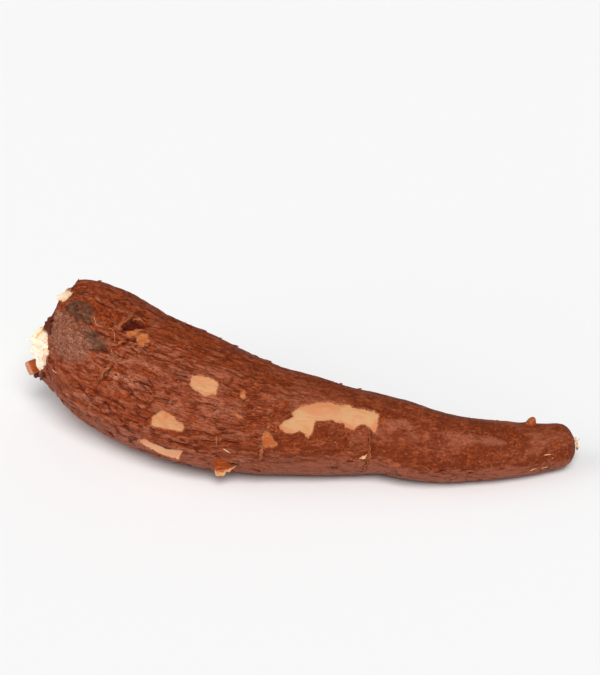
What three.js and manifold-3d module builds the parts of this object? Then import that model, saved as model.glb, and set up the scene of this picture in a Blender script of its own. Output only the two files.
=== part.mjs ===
// A whole cassava root lying on its side: thick and snapped off at the stem end, bowed, and
// tapering to a blunt tip. One solid. Millimetres, +Z up, stem end towards -X, tip towards +X.
// The origin is on the resting surface, under the middle of the root's bounding box.

import * as THREE from 'three';
import { mergeVertices } from 'three/addons/utils/BufferGeometryUtils.js';
import Module from 'manifold-3d';

// ---------------------------------------------------------------- driving dimensions

// The root's axis in plan, its radius, and how far its underside lifts off the surface.
const STATIONS = [
  { x: -116.0, y: 30.5, radius: 27.1, lift: 15.0 },
  { x: -101.5, y: 22.0, radius: 31.3, lift: 7.0 },
  { x: -88.0, y: 10.0, radius: 33.0, lift: 1.8 },
  { x: -72.5, y: -2.5, radius: 32.9, lift: 0.2 },
  { x: -55.0, y: -14.5, radius: 32.2, lift: 0.0 },
  { x: -38.5, y: -22.5, radius: 30.2, lift: 0.0 },
  { x: -22.5, y: -26.0, radius: 27.4, lift: 0.0 },
  { x: -6.5, y: -28.5, radius: 25.0, lift: 0.3 },
  { x: 10.0, y: -29.5, radius: 22.9, lift: 0.6 },
  { x: 26.5, y: -30.0, radius: 20.8, lift: 0.8 },
  { x: 42.5, y: -31.5, radius: 19.4, lift: 0.5 },
  { x: 58.5, y: -36.5, radius: 18.2, lift: 0.0 },
  { x: 75.0, y: -37.5, radius: 16.4, lift: 0.0 },
  { x: 91.5, y: -36.0, radius: 14.6, lift: 0.0 },
  { x: 108.0, y: -32.5, radius: 12.7, lift: 0.4 },
  { x: 122.0, y: -29.5, radius: 10.9, lift: 1.2 },
  { x: 133.5, y: -27.5, radius: 9.8, lift: 2.2 },
];
const BELLY_SINK = 0.8;          // how deep the round belly is pressed flat where it rests
const TIP_LENGTH = 11.0;         // the blunt tip, rounded over this length
const TIP_SQUARENESS = 2.5;      // 2 is a round tip, more is blunter

// The broken stem end.
const BREAK_NORMAL = new THREE.Vector3(-0.90, 0.36, 0.25).normalize();
const BREAK_REACH = 34.0;        // length over which the sections turn to face the break
const RIM_ROUND = 2.2;           // how far the skin rolls over at the rim
const BREAK_RELIEF = 2.4;        // height of the torn flesh's hills and hollows

// Growth marks.
const SWELLING = 0.9;            // slow swellings of the whole root
const FOLD_HEIGHT = 0.55;        // long folds of the skin, strongest at the stem end
const WAIST = { along: 0.625, depth: 0.7, width: 0.018 };

// A bud on the tip's back, and a chip of peel hanging at the lower edge of the break.
const BUD = { along: 0.893, turn: 2.0, radius: 2.5, proud: 0.7 };
const CHIP = { turn: -0.5, length: 8.2, width: 5.8, thickness: 5.4, overlap: 2.6 };

// Mesh density.
const AROUND = 44;
const FACE_ROWS = 6;
const BODY_ROWS = 60;
const TIP_ROWS = 8;

// ---------------------------------------------------------------- the axis and its sections

const axisInPlan = new THREE.CatmullRomCurve3(
  STATIONS.map(({ x, y }) => new THREE.Vector3(x, y, 0)), false, 'catmullrom');
const girth = new THREE.CatmullRomCurve3(
  STATIONS.map(({ radius, lift }) => new THREE.Vector3(radius, lift, 0)), false, 'catmullrom');

function axisPoint(along) {
  const { x: radius, y: lift } = girth.getPoint(along);
  const point = axisInPlan.getPoint(along);
  point.z = radius + lift - BELLY_SINK;
  return point;
}

function axisDirection(along) {
  const step = 0.004;
  const before = axisPoint(Math.max(0, along - step));
  const after = axisPoint(Math.min(1, along + step));
  return after.sub(before).normalize();
}

const axisLength = new THREE.CatmullRomCurve3(
  STATIONS.map((_, i) => axisPoint(i / (STATIONS.length - 1)))).getLength();

// A section's own frame: forward along the root, front towards -Y, and up. Turns run from the
// front over the top, so a quarter turn is the top and minus a quarter is the belly.
function sectionFrame(along) {
  const nearBreak = 1 - THREE.MathUtils.smoothstep(along * axisLength, 0, BREAK_REACH);
  const forward = axisDirection(along).lerp(BREAK_NORMAL.clone().negate(), nearBreak).normalize();
  const front = forward.clone().cross(new THREE.Vector3(0, 0, 1)).normalize();
  const up = front.clone().cross(forward);
  return { front, up };
}

// ---------------------------------------------------------------- surface

function swelling(along, turn) {
  return SWELLING * (
    Math.sin(9 * along + 2 * turn)
    + 0.7 * Math.sin(21 * along - turn + 1.3)
    + 0.5 * Math.sin(34 * along + 3 * turn + 4.1)
  ) / 2.2;
}

function folds(along, turn) {
  const strength = 1 - THREE.MathUtils.smoothstep(along, 0.25, 0.7);
  const wander = 0.5 * Math.sin(17 * along);
  return FOLD_HEIGHT * strength * (
    Math.sin(7 * turn + wander) + 0.6 * Math.sin(11 * turn - 13 * along)
  ) / 1.6;
}

function waist(along) {
  const offset = (along - WAIST.along) / WAIST.width;
  return -WAIST.depth * Math.exp(-offset * offset);
}

function skinRadius(along, turn) {
  return girth.getPoint(along).x + swelling(along, turn) + folds(along, turn) + waist(along);
}

function onSection(along, turn, radius) {
  const { front, up } = sectionFrame(along);
  return axisPoint(along)
    .addScaledVector(front, radius * Math.cos(turn))
    .addScaledVector(up, radius * Math.sin(turn));
}

// Torn flesh: hills and hollows that die out at the rim.
function breakRelief(share, turn) {
  const calm = 1 - share ** 4;
  return BREAK_RELIEF * calm * (
    0.5 * Math.cos(2 * turn + 0.6) * share
    + 0.4 * Math.sin(5 * turn + 6 * share) * share
    + 0.35
  );
}

function facePoint(share, turn) {
  const radius = share * (skinRadius(0, turn) - RIM_ROUND);
  return onSection(0, turn, radius).addScaledVector(BREAK_NORMAL, breakRelief(share, turn));
}

function bodyPoint(share, turn) {
  const start = RIM_ROUND / axisLength;
  const end = 1 - TIP_LENGTH / axisLength;
  const along = THREE.MathUtils.lerp(start, end, share);
  return onSection(along, turn, skinRadius(along, turn));
}

function tipPoint(share, turn) {
  const reach = Math.sin(share * Math.PI / 2);
  const along = 1 - TIP_LENGTH * (1 - reach) / axisLength;
  const rounding = Math.max(0, 1 - reach ** TIP_SQUARENESS) ** (1 / TIP_SQUARENESS);
  return onSection(along, turn, rounding * skinRadius(along, turn));
}

function surfacePoint(row, turn) {
  if (row <= FACE_ROWS) return facePoint(row / FACE_ROWS, turn);
  const bodyRow = row - FACE_ROWS - 1;
  if (bodyRow <= BODY_ROWS) return bodyPoint(bodyRow / BODY_ROWS, turn);
  return tipPoint((bodyRow - BODY_ROWS) / TIP_ROWS, turn);
}

// ---------------------------------------------------------------- solids

// A sphere's mesh has the right connections: one pole is the middle of the break, the other
// is the tip, and each row of latitude becomes one ring of the root.
function rootBody() {
  const rows = FACE_ROWS + 1 + BODY_ROWS + TIP_ROWS;
  const geometry = new THREE.SphereGeometry(1, AROUND, rows);
  const position = geometry.attributes.position;
  for (let row = 0; row <= rows; row += 1) {
    for (let column = 0; column <= AROUND; column += 1) {
      const turn = 2 * Math.PI * (column % AROUND) / AROUND;
      const point = surfacePoint(row, turn);
      const index = row * (AROUND + 1) + column;
      position.setXYZ(index, point.x, point.y, Math.max(0, point.z));
    }
  }
  return geometry;
}

function bud() {
  const geometry = new THREE.SphereGeometry(BUD.radius, 10, 8);
  const centre = onSection(BUD.along, BUD.turn, skinRadius(BUD.along, BUD.turn) + BUD.proud);
  geometry.translate(centre.x, centre.y, centre.z);
  return geometry;
}

function peelChip() {
  const geometry = new THREE.BoxGeometry(CHIP.length, CHIP.width, CHIP.thickness);
  const { up } = sectionFrame(0);
  const outward = BREAK_NORMAL.clone();
  const across = up.clone().cross(outward).normalize();
  geometry.applyMatrix4(new THREE.Matrix4().makeBasis(outward, across, up));
  const rim = facePoint(1, CHIP.turn);
  const centre = rim.addScaledVector(outward, CHIP.length / 2 - CHIP.overlap);
  geometry.translate(centre.x, centre.y, centre.z);
  return geometry;
}

// ---------------------------------------------------------------- joining

const wasm = await Module();
wasm.setup();

function toSolid(geometry) {
  const bare = geometry.clone();
  bare.deleteAttribute('normal');
  bare.deleteAttribute('uv');
  const merged = mergeVertices(bare, 1e-4);
  return new wasm.Manifold(new wasm.Mesh({
    numProp: 3,
    vertProperties: new Float32Array(merged.attributes.position.array),
    triVerts: new Uint32Array(merged.index.array),
  }));
}

function toGeometry(solid) {
  const mesh = solid.getMesh();
  const geometry = new THREE.BufferGeometry();
  geometry.setAttribute('position', new THREE.BufferAttribute(mesh.vertProperties, 3));
  geometry.setIndex(new THREE.BufferAttribute(mesh.triVerts, 1));
  geometry.computeVertexNormals();
  return geometry;
}

const skin = new THREE.MeshStandardMaterial({ color: 0x8f4a30, roughness: 0.72, metalness: 0 });
const solid = toSolid(rootBody()).add(toSolid(bud())).add(toSolid(peelChip()));
const cassavaRoot = new THREE.Mesh(toGeometry(solid), skin);
cassavaRoot.name = 'cassava_root';

const part = new THREE.Group();
part.add(cassavaRoot);
export default part;
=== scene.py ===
"""A whole cassava root: wrinkled brown bark, patches of bare inner peel, a snapped stem end
with torn pale flesh, a bud near the blunt tip, and the small flakes and fibres of its skin."""

import math

import bmesh
import bpy
import numpy as np
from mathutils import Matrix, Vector, noise
from mathutils.bvhtree import BVHTree
from mathutils.kdtree import KDTree


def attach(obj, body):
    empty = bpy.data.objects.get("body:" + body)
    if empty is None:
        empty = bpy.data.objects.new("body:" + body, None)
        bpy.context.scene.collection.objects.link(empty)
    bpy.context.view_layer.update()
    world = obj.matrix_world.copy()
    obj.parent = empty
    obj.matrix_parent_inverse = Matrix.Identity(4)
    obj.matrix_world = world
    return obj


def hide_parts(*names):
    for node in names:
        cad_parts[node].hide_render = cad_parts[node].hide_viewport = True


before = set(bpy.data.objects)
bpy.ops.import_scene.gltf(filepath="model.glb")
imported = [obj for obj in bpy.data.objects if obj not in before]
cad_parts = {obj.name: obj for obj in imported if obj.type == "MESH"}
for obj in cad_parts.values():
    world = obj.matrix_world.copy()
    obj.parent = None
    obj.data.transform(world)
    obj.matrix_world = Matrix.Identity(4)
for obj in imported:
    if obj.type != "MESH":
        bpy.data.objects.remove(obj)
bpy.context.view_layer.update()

NODE = "cassava_root"
MM = 0.001

# ------------------------------------------------------------------ camera, in millimetres

PICTURE = (600, 675)
CAMERA_AIM = np.array([2.0, 87.0, 0.0])
CAMERA_ELEVATION = math.radians(32.0)
CAMERA_DISTANCE = 1100.0
MM_PER_PIXEL = 0.53
SENSOR = 36.0

LOOK = np.array([0.0, math.cos(CAMERA_ELEVATION), -math.sin(CAMERA_ELEVATION)])
SIDEWAYS = np.array([1.0, 0.0, 0.0])
UPWARDS = np.array([0.0, math.sin(CAMERA_ELEVATION), math.cos(CAMERA_ELEVATION)])
EYE = CAMERA_AIM - LOOK * CAMERA_DISTANCE
FOCAL_PIXELS = CAMERA_DISTANCE / MM_PER_PIXEL


def picture_place(points):
    """Where points, in millimetres, fall in the camera's picture."""
    ray = points - EYE
    depth = ray @ LOOK
    u = PICTURE[0] / 2 + FOCAL_PIXELS * (ray @ SIDEWAYS) / depth
    v = PICTURE[1] / 2 - FOCAL_PIXELS * (ray @ UPWARDS) / depth
    return np.stack([u, v], -1)


def sight_line(u, v):
    """The direction from the camera through a place in its picture."""
    across = SIDEWAYS * (u - PICTURE[0] / 2)
    upward = UPWARDS * (PICTURE[1] / 2 - v)
    line = LOOK * FOCAL_PIXELS + across + upward
    return line / np.linalg.norm(line)


def make_camera():
    """The camera, with a lens that gives MM_PER_PIXEL at the point it aims at."""
    data = bpy.data.cameras.new("camera")
    data.sensor_fit = "VERTICAL"
    data.sensor_height = SENSOR
    data.lens = FOCAL_PIXELS * SENSOR / PICTURE[1]
    data.clip_start = 0.01
    data.clip_end = 50
    camera = bpy.data.objects.new("camera", data)
    camera.location = Vector(EYE * MM)
    camera.rotation_euler = (math.pi / 2 - CAMERA_ELEVATION, 0, 0)
    bpy.context.scene.collection.objects.link(camera)
    bpy.context.scene.camera = camera


# ------------------------------------------------------------------ dimensions, in millimetres

# Points down the middle of the root, from the break to the tip. The skin is found from here.
AXIS = [
    (-116.0, 30.5, 41.3), (-101.5, 22.0, 37.5), (-72.5, -2.5, 32.3), (-38.5, -22.5, 29.4),
    (-6.5, -28.5, 24.5), (26.5, -30.0, 20.8), (58.5, -36.5, 17.4), (91.5, -36.0, 13.8),
    (122.0, -29.5, 11.3), (133.5, -27.5, 11.2),
]
BREAK_NORMAL = np.array([-0.90, 0.36, 0.25]) / np.linalg.norm([-0.90, 0.36, 0.25])
BREAK_REACH = 34.0
RIM_CLEAR = 3.6
SHOULDER = 6.0
SHOULDER_DROP = 2.4
TIP_LENGTH = 11.0

COLUMNS = 300
FACE_ROWS = 40
BODY_ROWS = 264
TIP_ROWS = 18

# How the bark changes with the distance from the break: where it stops being gnarled, where it
# turns from coarse to smooth, and where its growth rings come out.
GNARLED_FADE = (45.0, 85.0)
COARSE_FADE = (68.0, 180.0)
RINGS_RISE = (110.0, 190.0)

# How many times the skin is softened: to find its level, and to round off its facets.
LEVEL_PASSES = 40
FACET_PASSES = 8
# The most that the skin may stand over its level before its relief is added.
BUMP_LIMIT = 0.5
# The relief is calmed towards the tip over this many rings, by this share.
TIP_CALM_ROWS = 8
TIP_CALM = 0.7

PEEL_DEPTH = 0.55
# A gap to a mark that counts as nowhere near it.
FAR = 50.0
# The least height of anything over the floor it rests on.
REST_GAP = 0.03

# ------------------------------------------------------------------ marks, in picture places

# Bark flaked off down to the inner peel.
BARE_PATCHES = {
    "shoulder": [
        (190, 379), (192.5, 376), (198, 375), (205, 376), (212, 379), (219, 384), (218, 387),
        (215.8, 390), (217, 396), (214, 395.6), (211, 394), (206.4, 397.6), (202.5, 395.6),
        (198, 391), (192.4, 388.6), (189, 385), (190.4, 382),
    ],
    "belly": [
        (151, 418), (155, 414.5), (160, 411), (163, 410.5), (167, 412), (170, 414), (174, 417),
        (176, 420), (180, 422), (183, 424), (184, 428), (181, 432), (176, 431), (173, 430),
        (166, 429), (160, 428), (153, 427), (151, 424),
    ],
    "lower_edge": [
        (137, 440), (141, 440), (146, 439), (150, 442), (158, 446), (166, 448.5), (173, 450),
        (181, 450.5), (182, 452), (180, 456), (178, 459), (172, 458), (165, 456), (158, 452.5),
        (150, 449), (144, 445.5), (139, 442),
    ],
    "middle": [
        (279, 426), (284, 422), (290, 419), (293, 417), (291, 413), (295, 410), (301, 406),
        (305, 405), (310, 404.5), (318, 402), (330, 402), (340, 405), (348, 405), (358, 409),
        (368, 410), (379, 414), (379, 417), (378, 425), (376, 432), (374, 433), (371, 430),
        (368, 427), (364, 424.5), (361, 425), (357, 428), (354, 430), (350, 429), (345, 428),
        (343, 424), (338, 423.5), (335, 422), (332, 420.5), (325, 421), (318, 420.5),
        (315, 419.5), (315, 425), (313, 430), (311, 435), (309, 439), (307, 438), (304, 434),
        (300, 431), (296, 432.5), (291, 433.5), (286, 433), (281, 430),
    ],
    "flag": [
        (264, 431), (268, 432), (272, 436), (275, 441), (278, 445), (273, 447), (267, 446),
        (262, 449), (262, 440), (263, 435),
    ],
    "oval": [(241, 391), (244.5, 391), (245, 397), (242.5, 400), (240, 397)],
    "wedge": [(233, 412), (240, 415), (244, 418), (237, 418)],
    "scrape_left": [
        (125.4, 333.4), (127.5, 330.6), (133, 330), (137, 328.6), (140.4, 328.4), (138.6, 331.6),
        (136, 334.6), (133, 334.8), (128.4, 337.2),
    ],
    "scrape_right": [
        (136.2, 339), (137.8, 334.6), (141, 331.8), (146.4, 332.6), (148.4, 337), (149.8, 341),
        (147, 342.5), (144, 343), (143.5, 347), (140, 345.5), (137.5, 342),
    ],
}
ORANGE_PATCHES = ("scrape_left", "scrape_right", "oval", "wedge", "flag")

# Bark torn away at the break, down to the white flesh.
TORN_RIM = {
    "side": [
        (45, 330), (47, 333), (46.2, 338), (47, 343), (46.4, 347), (48, 352), (46.6, 357),
        (45, 362), (43, 367), (40, 371), (34, 377), (24, 377), (22, 352), (30, 330),
    ],
    "top": [
        (71, 290.4), (70, 293), (68.4, 296), (67, 299), (64, 300.4), (52, 300), (60, 286),
        (68, 285),
    ],
}

# Redder streaks across the bare peel.
BLUSHES = [
    [(168, 414), (164, 421), (165.5, 428)],
    [(171, 457), (176, 455), (181, 452)],
    [(306, 427), (308, 432), (308.5, 438)], [(281, 427), (286, 430), (291, 432)],
    [(265, 433), (268, 439), (273, 444)], [(376.5, 421), (376, 427), (375.5, 432)],
    [(139, 440.5), (144, 443.5), (150, 447)], [(152, 420), (157, 418), (160, 421)],
    [(205, 396), (209, 394), (213, 394)], [(340, 422), (346, 426), (353, 428.5)],
]

SCORCHED = [
    (65.2, 303.7), (68.8, 302), (74.4, 301.4), (81, 301), (87, 301), (90.7, 304.7),
    (94.3, 309.8), (93.3, 314), (91.2, 320), (90.2, 326), (87, 324), (81, 322), (77.4, 319),
    (73.9, 316.4), (69.3, 313.4), (65.7, 309.8),
]
SCORCHED_FAINT = [(81, 326), (89, 329), (100, 334), (109, 338), (107, 349), (94, 350), (86, 341)]
DUSTY = [
    (55, 312), (64, 311), (71, 318), (84, 328), (96, 336), (97, 348), (84, 360), (66, 362),
    (50, 352), (48, 332),
]
# The hollow under the lifted flap, painted dark as shade.
LIFTED_HOLLOW = [
    (123, 329), (122.5, 325), (126, 322), (130, 317.5), (134.5, 316), (137, 320), (141, 323),
    (146, 324.5), (144, 327.5), (137, 327), (131, 329), (125, 330),
]
# The hollow under the hanging curl: orange, with painted shade towards its deep end.
LOWER_HOLLOW = [(213.6, 459.6), (226, 461.2), (239, 465), (226, 469.4), (214.4, 469)]
# The ring crack, painted dark partly as the shadow of the flakes that stand along it.
RING_CRACK = [
    (371, 431), (370.5, 437), (369, 443), (371, 449), (369, 454), (367, 460), (367, 465),
    (364.5, 470),
]
FINE_LINES = [
    [(426.5, 424), (427, 436), (426, 446), (426.5, 456)],
    [(444, 423), (444.6, 429), (446.2, 434), (445.6, 441)],
]
# Open crevices in the bark, and one painted shadow beside the twisted strip.
CREVICES = [
    [(53, 377), (56, 382), (59, 386.5)], [(59.2, 388.8), (61, 393), (64.5, 396.8), (68, 399.2)],
    [(73, 378.5), (76, 382.5), (80, 387)], [(81.5, 390.5), (85, 393.5), (89.5, 398)],
    [(71, 402.5), (74, 405.5), (77.5, 408.5)], [(73, 410), (78, 412.5), (83, 415.5)],
    [(83, 404.5), (87, 407)], [(90, 416.5), (94, 419.5)], [(94, 405), (97, 407.5), (100, 411)],
    [(103, 402.5), (106, 406), (110, 411)], [(112, 401.5), (116, 404.5), (120, 407.5), (124, 409)],
    [(100, 411.5), (104, 413.5), (108, 416)], [(109.5, 423.5), (112.5, 426), (116, 428)],
    [(117, 430), (121, 433.5), (126, 436.5), (129.5, 439)], [(120, 422), (124, 426), (128, 429)],
    [(134, 411.5), (137, 415), (141, 417.5)], [(134, 402), (137, 406), (139, 408.5)],
    [(151, 432.5), (155, 435), (160, 436.2)], [(128, 420.5), (132, 422), (137, 423.5)],
    [(97, 386), (100, 380.8), (105, 380), (110, 379.5)],
    # The first line here is the painted shadow beside the twisted strip.
    [(103, 379), (106.5, 374.5), (109.5, 370), (112, 366)], [(95.5, 391), (97, 394), (99.5, 396)],
    [(122, 329.5), (124, 326.5), (127, 323)],
    [(103, 429), (107, 432), (112, 434.5)], [(80, 293), (84, 292.2), (90, 292.6), (94, 294)],
    [(110, 314), (113, 317), (118, 320.5)], [(97, 301), (104, 304), (110, 306.5)],
    [
        (87, 349.5), (91, 349), (97, 350), (104, 350.8), (110, 352), (115, 353.5), (120, 356.5),
        (126, 358.5),
    ],
    [(140, 350), (144, 352.5), (150, 355), (156, 357)], [(136, 382), (141, 381.6), (143, 384)],
    [(140, 384.5), (143, 386), (147, 390), (150, 393)], [(148, 378), (150, 382), (153, 386)],
    [(158, 399), (163, 399.2), (168, 400)], [(165, 403.5), (170, 404.5), (173, 404)],
    [(120, 384), (123, 388), (127, 391.5), (130, 394.5)], [(126, 383), (128, 388), (131, 392)],
    [(171, 442), (177, 443.5), (183, 445), (190, 447)], [(203, 432), (208, 434), (214, 436.8)],
    [(204, 441), (210, 441.5), (220, 442)], [(212, 411.5), (216, 410)],
    [(172, 373), (180, 375), (187, 377)], [(163, 383), (168, 383.5), (174, 386)],
    [(126, 338), (131, 339), (135, 339.5)], [(143.5, 346), (147, 346.2), (150, 344)],
    [(140, 459), (147, 462), (154, 464)], [(176, 463.5), (184, 465), (192, 466.5)],
    [(226, 442), (232, 443), (238, 443.5)], [(246, 437), (252, 438), (257, 437.6)],
    [(232, 425), (238, 426), (243, 425.6)], [(384, 474), (391, 474.6)],
    [(396, 475.4), (400.5, 475.8)], [(406, 477.4), (411, 477.7)], [(421, 474), (427, 474.4)],
    [(331, 468), (337, 468.6)], [(296, 463), (303, 463.6)], [(348, 462), (352, 462.4)],
    [(440, 471), (445, 471.4)], [(468, 474), (473, 473.6)], [(500, 470), (504, 469.2)],
    [(443.4, 425.5), (444.4, 430)], [(445.4, 433), (445.6, 435.5)],
    [(434, 476.6), (437.4, 477.2)], [(454, 475.8), (457, 475.6)], [(463, 470.4), (467, 470.2)],
]
# Folds of the bark that stand up, painted paler as a highlight.
CRESTS = [
    [(110, 373), (112.5, 376.5), (115, 379.5)], [(120, 376), (123, 377.5), (125.5, 378)],
    [(129.5, 382), (132, 386), (134.5, 390), (136.5, 394)], [(112, 381), (115, 386), (117, 389)],
    [(130, 377), (135, 378), (139, 377)], [(74, 393), (80, 394.5), (85, 396.4)],
    [(100, 356), (106, 357), (113, 357.5)], [(110, 353.5), (114.5, 356), (117, 358.4)],
    [(119, 359), (125, 361), (131, 361.6)], [(145, 363), (150, 366), (157, 369)],
    [(175.5, 407), (181, 406)], [(87, 403), (92, 406)], [(63, 391), (66, 395)],
    [(96, 398), (100, 401.5)], [(131, 425), (136, 428)], [(123, 431), (129, 435)],
]
# Painted highlights: broad soft bands where the smooth bark is painted paler, as the sheen of the
# light.
SHEENS = [
    [(392, 424), (402, 425), (412, 430)], [(447, 435.5), (458, 437), (470, 438)],
    [(488, 441), (500, 443)],
]
# Pale or orange corky spots: a picture place and a radius.
SPOTS = [
    (389.5, 460.5, 2.0), (393, 465.8, 1.3), (397.3, 465.3, 1.5), (422, 448.7, 1.0),
    (297, 449, 1.0), (430, 471, 1.1), (532.5, 441.7, 1.9), (560, 447.4, 1.0), (248, 400, 1.4),
    (221, 436, 1.2), (254, 425.4, 1.9), (320, 441, 0.9), (351, 446, 1.0), (404, 434, 0.9),
    (478, 452, 1.0), (451, 436, 1.0), (459, 434.5, 0.9), (467, 437, 1.0), (456, 440, 0.9),
    (464.5, 442.2, 1.1), (462.5, 424.6, 1.2),
]
SCUFFS = [(60, 315, 3.4), (269, 411, 3.0), (242, 459.5, 2.4), (171, 402, 2.6), (117, 377, 3.4)]

# ------------------------------------------------------------------ small geometry helpers


def smoothstep(value, low, high):
    share = np.clip((value - low) / (high - low), 0.0, 1.0)
    return share * share * (3.0 - 2.0 * share)


def unit(vectors):
    return vectors / np.linalg.norm(vectors, axis=-1, keepdims=True)


def spline(points, shares):
    """A Catmull-Rom curve through points, at shares from 0 to 1."""
    known = np.asarray(points, float)
    padded = np.vstack([2 * known[0] - known[1], known, 2 * known[-1] - known[-2]])
    place = np.clip(np.asarray(shares, float), 0, 1) * (len(known) - 1)
    index = np.minimum(place.astype(int), len(known) - 2)
    t = (place - index)[:, None]
    a, b, c, d = (padded[index + step] for step in range(4))
    return 0.5 * (
        2 * b + (c - a) * t + (2 * a - 5 * b + 4 * c - d) * t**2 + (3 * b - a - 3 * c + d) * t**3
    )


def even_axis():
    """The axis at even steps of half a millimetre, with the distance of each step."""
    fine = spline(AXIS, np.linspace(0, 1, 2000))
    gaps = np.linalg.norm(np.diff(fine, axis=0), axis=1)
    distance = np.concatenate([[0], np.cumsum(gaps)])
    return fine, distance


AXIS_FINE, AXIS_DISTANCE = even_axis()
ROOT_LENGTH = AXIS_DISTANCE[-1]


def axis_at(distances):
    """Points of the axis at distances from the break."""
    return np.stack([np.interp(distances, AXIS_DISTANCE, AXIS_FINE[:, i]) for i in range(3)], -1)


def directions_from(forward):
    """Forward, front and up directions of sections that face forward."""
    front = unit(np.cross(forward, [0.0, 0.0, 1.0]))
    return forward, front, np.cross(front, forward)


def axis_direction(distances):
    """Which way the axis runs, towards the tip, evened out over a few millimetres."""
    step = 3.0
    ahead = axis_at(np.minimum(distances + step, ROOT_LENGTH))
    behind = axis_at(np.maximum(distances - step, 0))
    return unit(ahead - behind)


def section_frames(distances):
    """The directions of the sections, which turn to the slant of the break near it."""
    turned = (1 - smoothstep(distances, 0, BREAK_REACH))[:, None]
    forward = axis_direction(distances) * (1 - turned) - BREAK_NORMAL * turned
    return directions_from(unit(forward))


def signed_distance(outline, places):
    """Distance to a closed outline in picture places, negative inside it."""
    corners = np.asarray(outline, float)
    nearest = np.full(len(places), 1e9)
    inside = np.zeros(len(places), bool)
    for start, end in zip(corners, np.roll(corners, -1, axis=0)):
        edge = end - start
        along = np.clip(((places - start) @ edge) / (edge @ edge), 0, 1)
        gap = np.linalg.norm(places - start - along[:, None] * edge, axis=1)
        nearest = np.minimum(nearest, gap)
        crosses = (start[1] > places[:, 1]) != (end[1] > places[:, 1])
        rise = np.where(end[1] == start[1], 1e-9, end[1] - start[1])
        meets = start[0] + (places[:, 1] - start[1]) * edge[0] / rise
        inside ^= crosses & (places[:, 0] < meets)
    return np.where(inside, -nearest, nearest)


def side_of_lines(lines, places):
    """Distance to the nearest of several open lines, and the same with a sign for the side."""
    nearest = np.full(len(places), 1e9)
    signed = np.full(len(places), 1e9)
    for line in lines:
        corners = np.asarray(line, float)
        for start, end in zip(corners[:-1], corners[1:]):
            edge = end - start
            away = places - start
            along = np.clip((away @ edge) / (edge @ edge), 0, 1)
            gap = np.linalg.norm(away - along[:, None] * edge, axis=1)
            side = np.sign(edge[0] * away[:, 1] - edge[1] * away[:, 0])
            closer = gap < nearest
            nearest = np.where(closer, gap, nearest)
            signed = np.where(closer, gap * side, signed)
    return nearest, signed


def noise_at(points, size, offset=0.0):
    """Smooth noise from about -1 to 1. size is a period in millimetres, or one per direction,
    and each offset gives another noise."""
    scaled = points / np.asarray(size, float) + offset
    return np.array([noise.noise(Vector(point)) for point in scaled])


def plates_at(points, size, offset=0.0):
    """Space split into uneven cells: how far each point is from a border between two cells,
    0 on the border, and one number from about -1 to 1 for the cell that it is in."""
    scaled = points / np.asarray(size, float) + offset
    gaps = np.empty(len(scaled))
    tones = np.empty(len(scaled))
    for index, point in enumerate(scaled):
        distances, centres = noise.voronoi(Vector(point))
        gaps[index] = distances[1] - distances[0]
        tones[index] = noise.noise(centres[0] * 3.7)
    return gaps, tones


# ------------------------------------------------------------------ the body's smooth shape


def surface_tree(mesh):
    """A closed surface as a search tree, in millimetres."""
    work = bmesh.new()
    work.from_mesh(mesh)
    bmesh.ops.remove_doubles(work, verts=work.verts, dist=1e-6)
    bmesh.ops.scale(work, vec=(1 / MM, 1 / MM, 1 / MM), verts=work.verts)
    tree = BVHTree.FromBMesh(work)
    work.free()
    return tree


def reach(tree, origins, directions):
    """How far the skin is from each origin along its direction."""
    found = np.full(len(origins), np.nan)
    for index, (origin, direction) in enumerate(zip(origins, directions)):
        hit = tree.ray_cast(Vector(origin), Vector(direction))
        if hit[0] is not None:
            found[index] = hit[3]
    return found


def soften(grid, passes):
    """Rounds off facets. Rows run along the root and columns around it."""
    for _ in range(passes):
        grid = (np.roll(grid, 1, 1) + 2 * grid + np.roll(grid, -1, 1)) / 4
        grid[1:-1] = (grid[:-2] + 2 * grid[1:-1] + grid[2:]) / 4
    return grid


TURNS = 2 * np.pi * np.arange(COLUMNS) / COLUMNS
COS = np.cos(TURNS)[None, :, None]
SIN = np.sin(TURNS)[None, :, None]


def smooth_skin(tree):
    """Base points of the bark in rings, and each ring's distance along the root."""
    tip_start = ROOT_LENGTH - TIP_LENGTH
    distances = np.linspace(0, tip_start, BODY_ROWS)
    probed = np.maximum(distances, RIM_CLEAR)
    _, front, up = section_frames(probed)
    outward = COS * front[:, None] + SIN * up[:, None]
    origins = np.repeat(axis_at(probed)[:, None], COLUMNS, 1)
    body = reach(tree, origins.reshape(-1, 3), outward.reshape(-1, 3))

    forward, front, up = section_frames(distances)
    ways = COS * front[:, None] + SIN * up[:, None]
    starts = np.repeat(axis_at(distances)[:, None], COLUMNS, 1)
    lean = np.linspace(0, 1, TIP_ROWS + 1)[1:-1] * np.pi / 2
    fan = np.cos(lean)[:, None, None] * ways[-1][None]
    fan = fan + np.sin(lean)[:, None, None] * forward[-1]
    fan_starts = np.broadcast_to(starts[-1], fan.shape)
    tip = reach(tree, fan_starts.reshape(-1, 3), fan.reshape(-1, 3))

    radii = np.concatenate([body, tip]).reshape(-1, COLUMNS)
    radii = np.where(np.isnan(radii), np.nanmedian(radii, 1, keepdims=True), radii)
    level = soften(radii.copy(), LEVEL_PASSES)
    radii = soften(np.minimum(radii, level + BUMP_LIMIT), FACET_PASSES)
    inward = np.clip(1 - np.concatenate([distances, np.full(len(lean), 99.0)]) / SHOULDER, 0, 1)
    radii -= SHOULDER_DROP * (1 - np.sqrt(1 - inward**2))[:, None]
    along = np.concatenate([distances, tip_start + TIP_LENGTH * np.sin(lean)])
    points = np.concatenate([starts, fan_starts]) + np.concatenate([ways, fan]) * radii[..., None]
    return points, along


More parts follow.
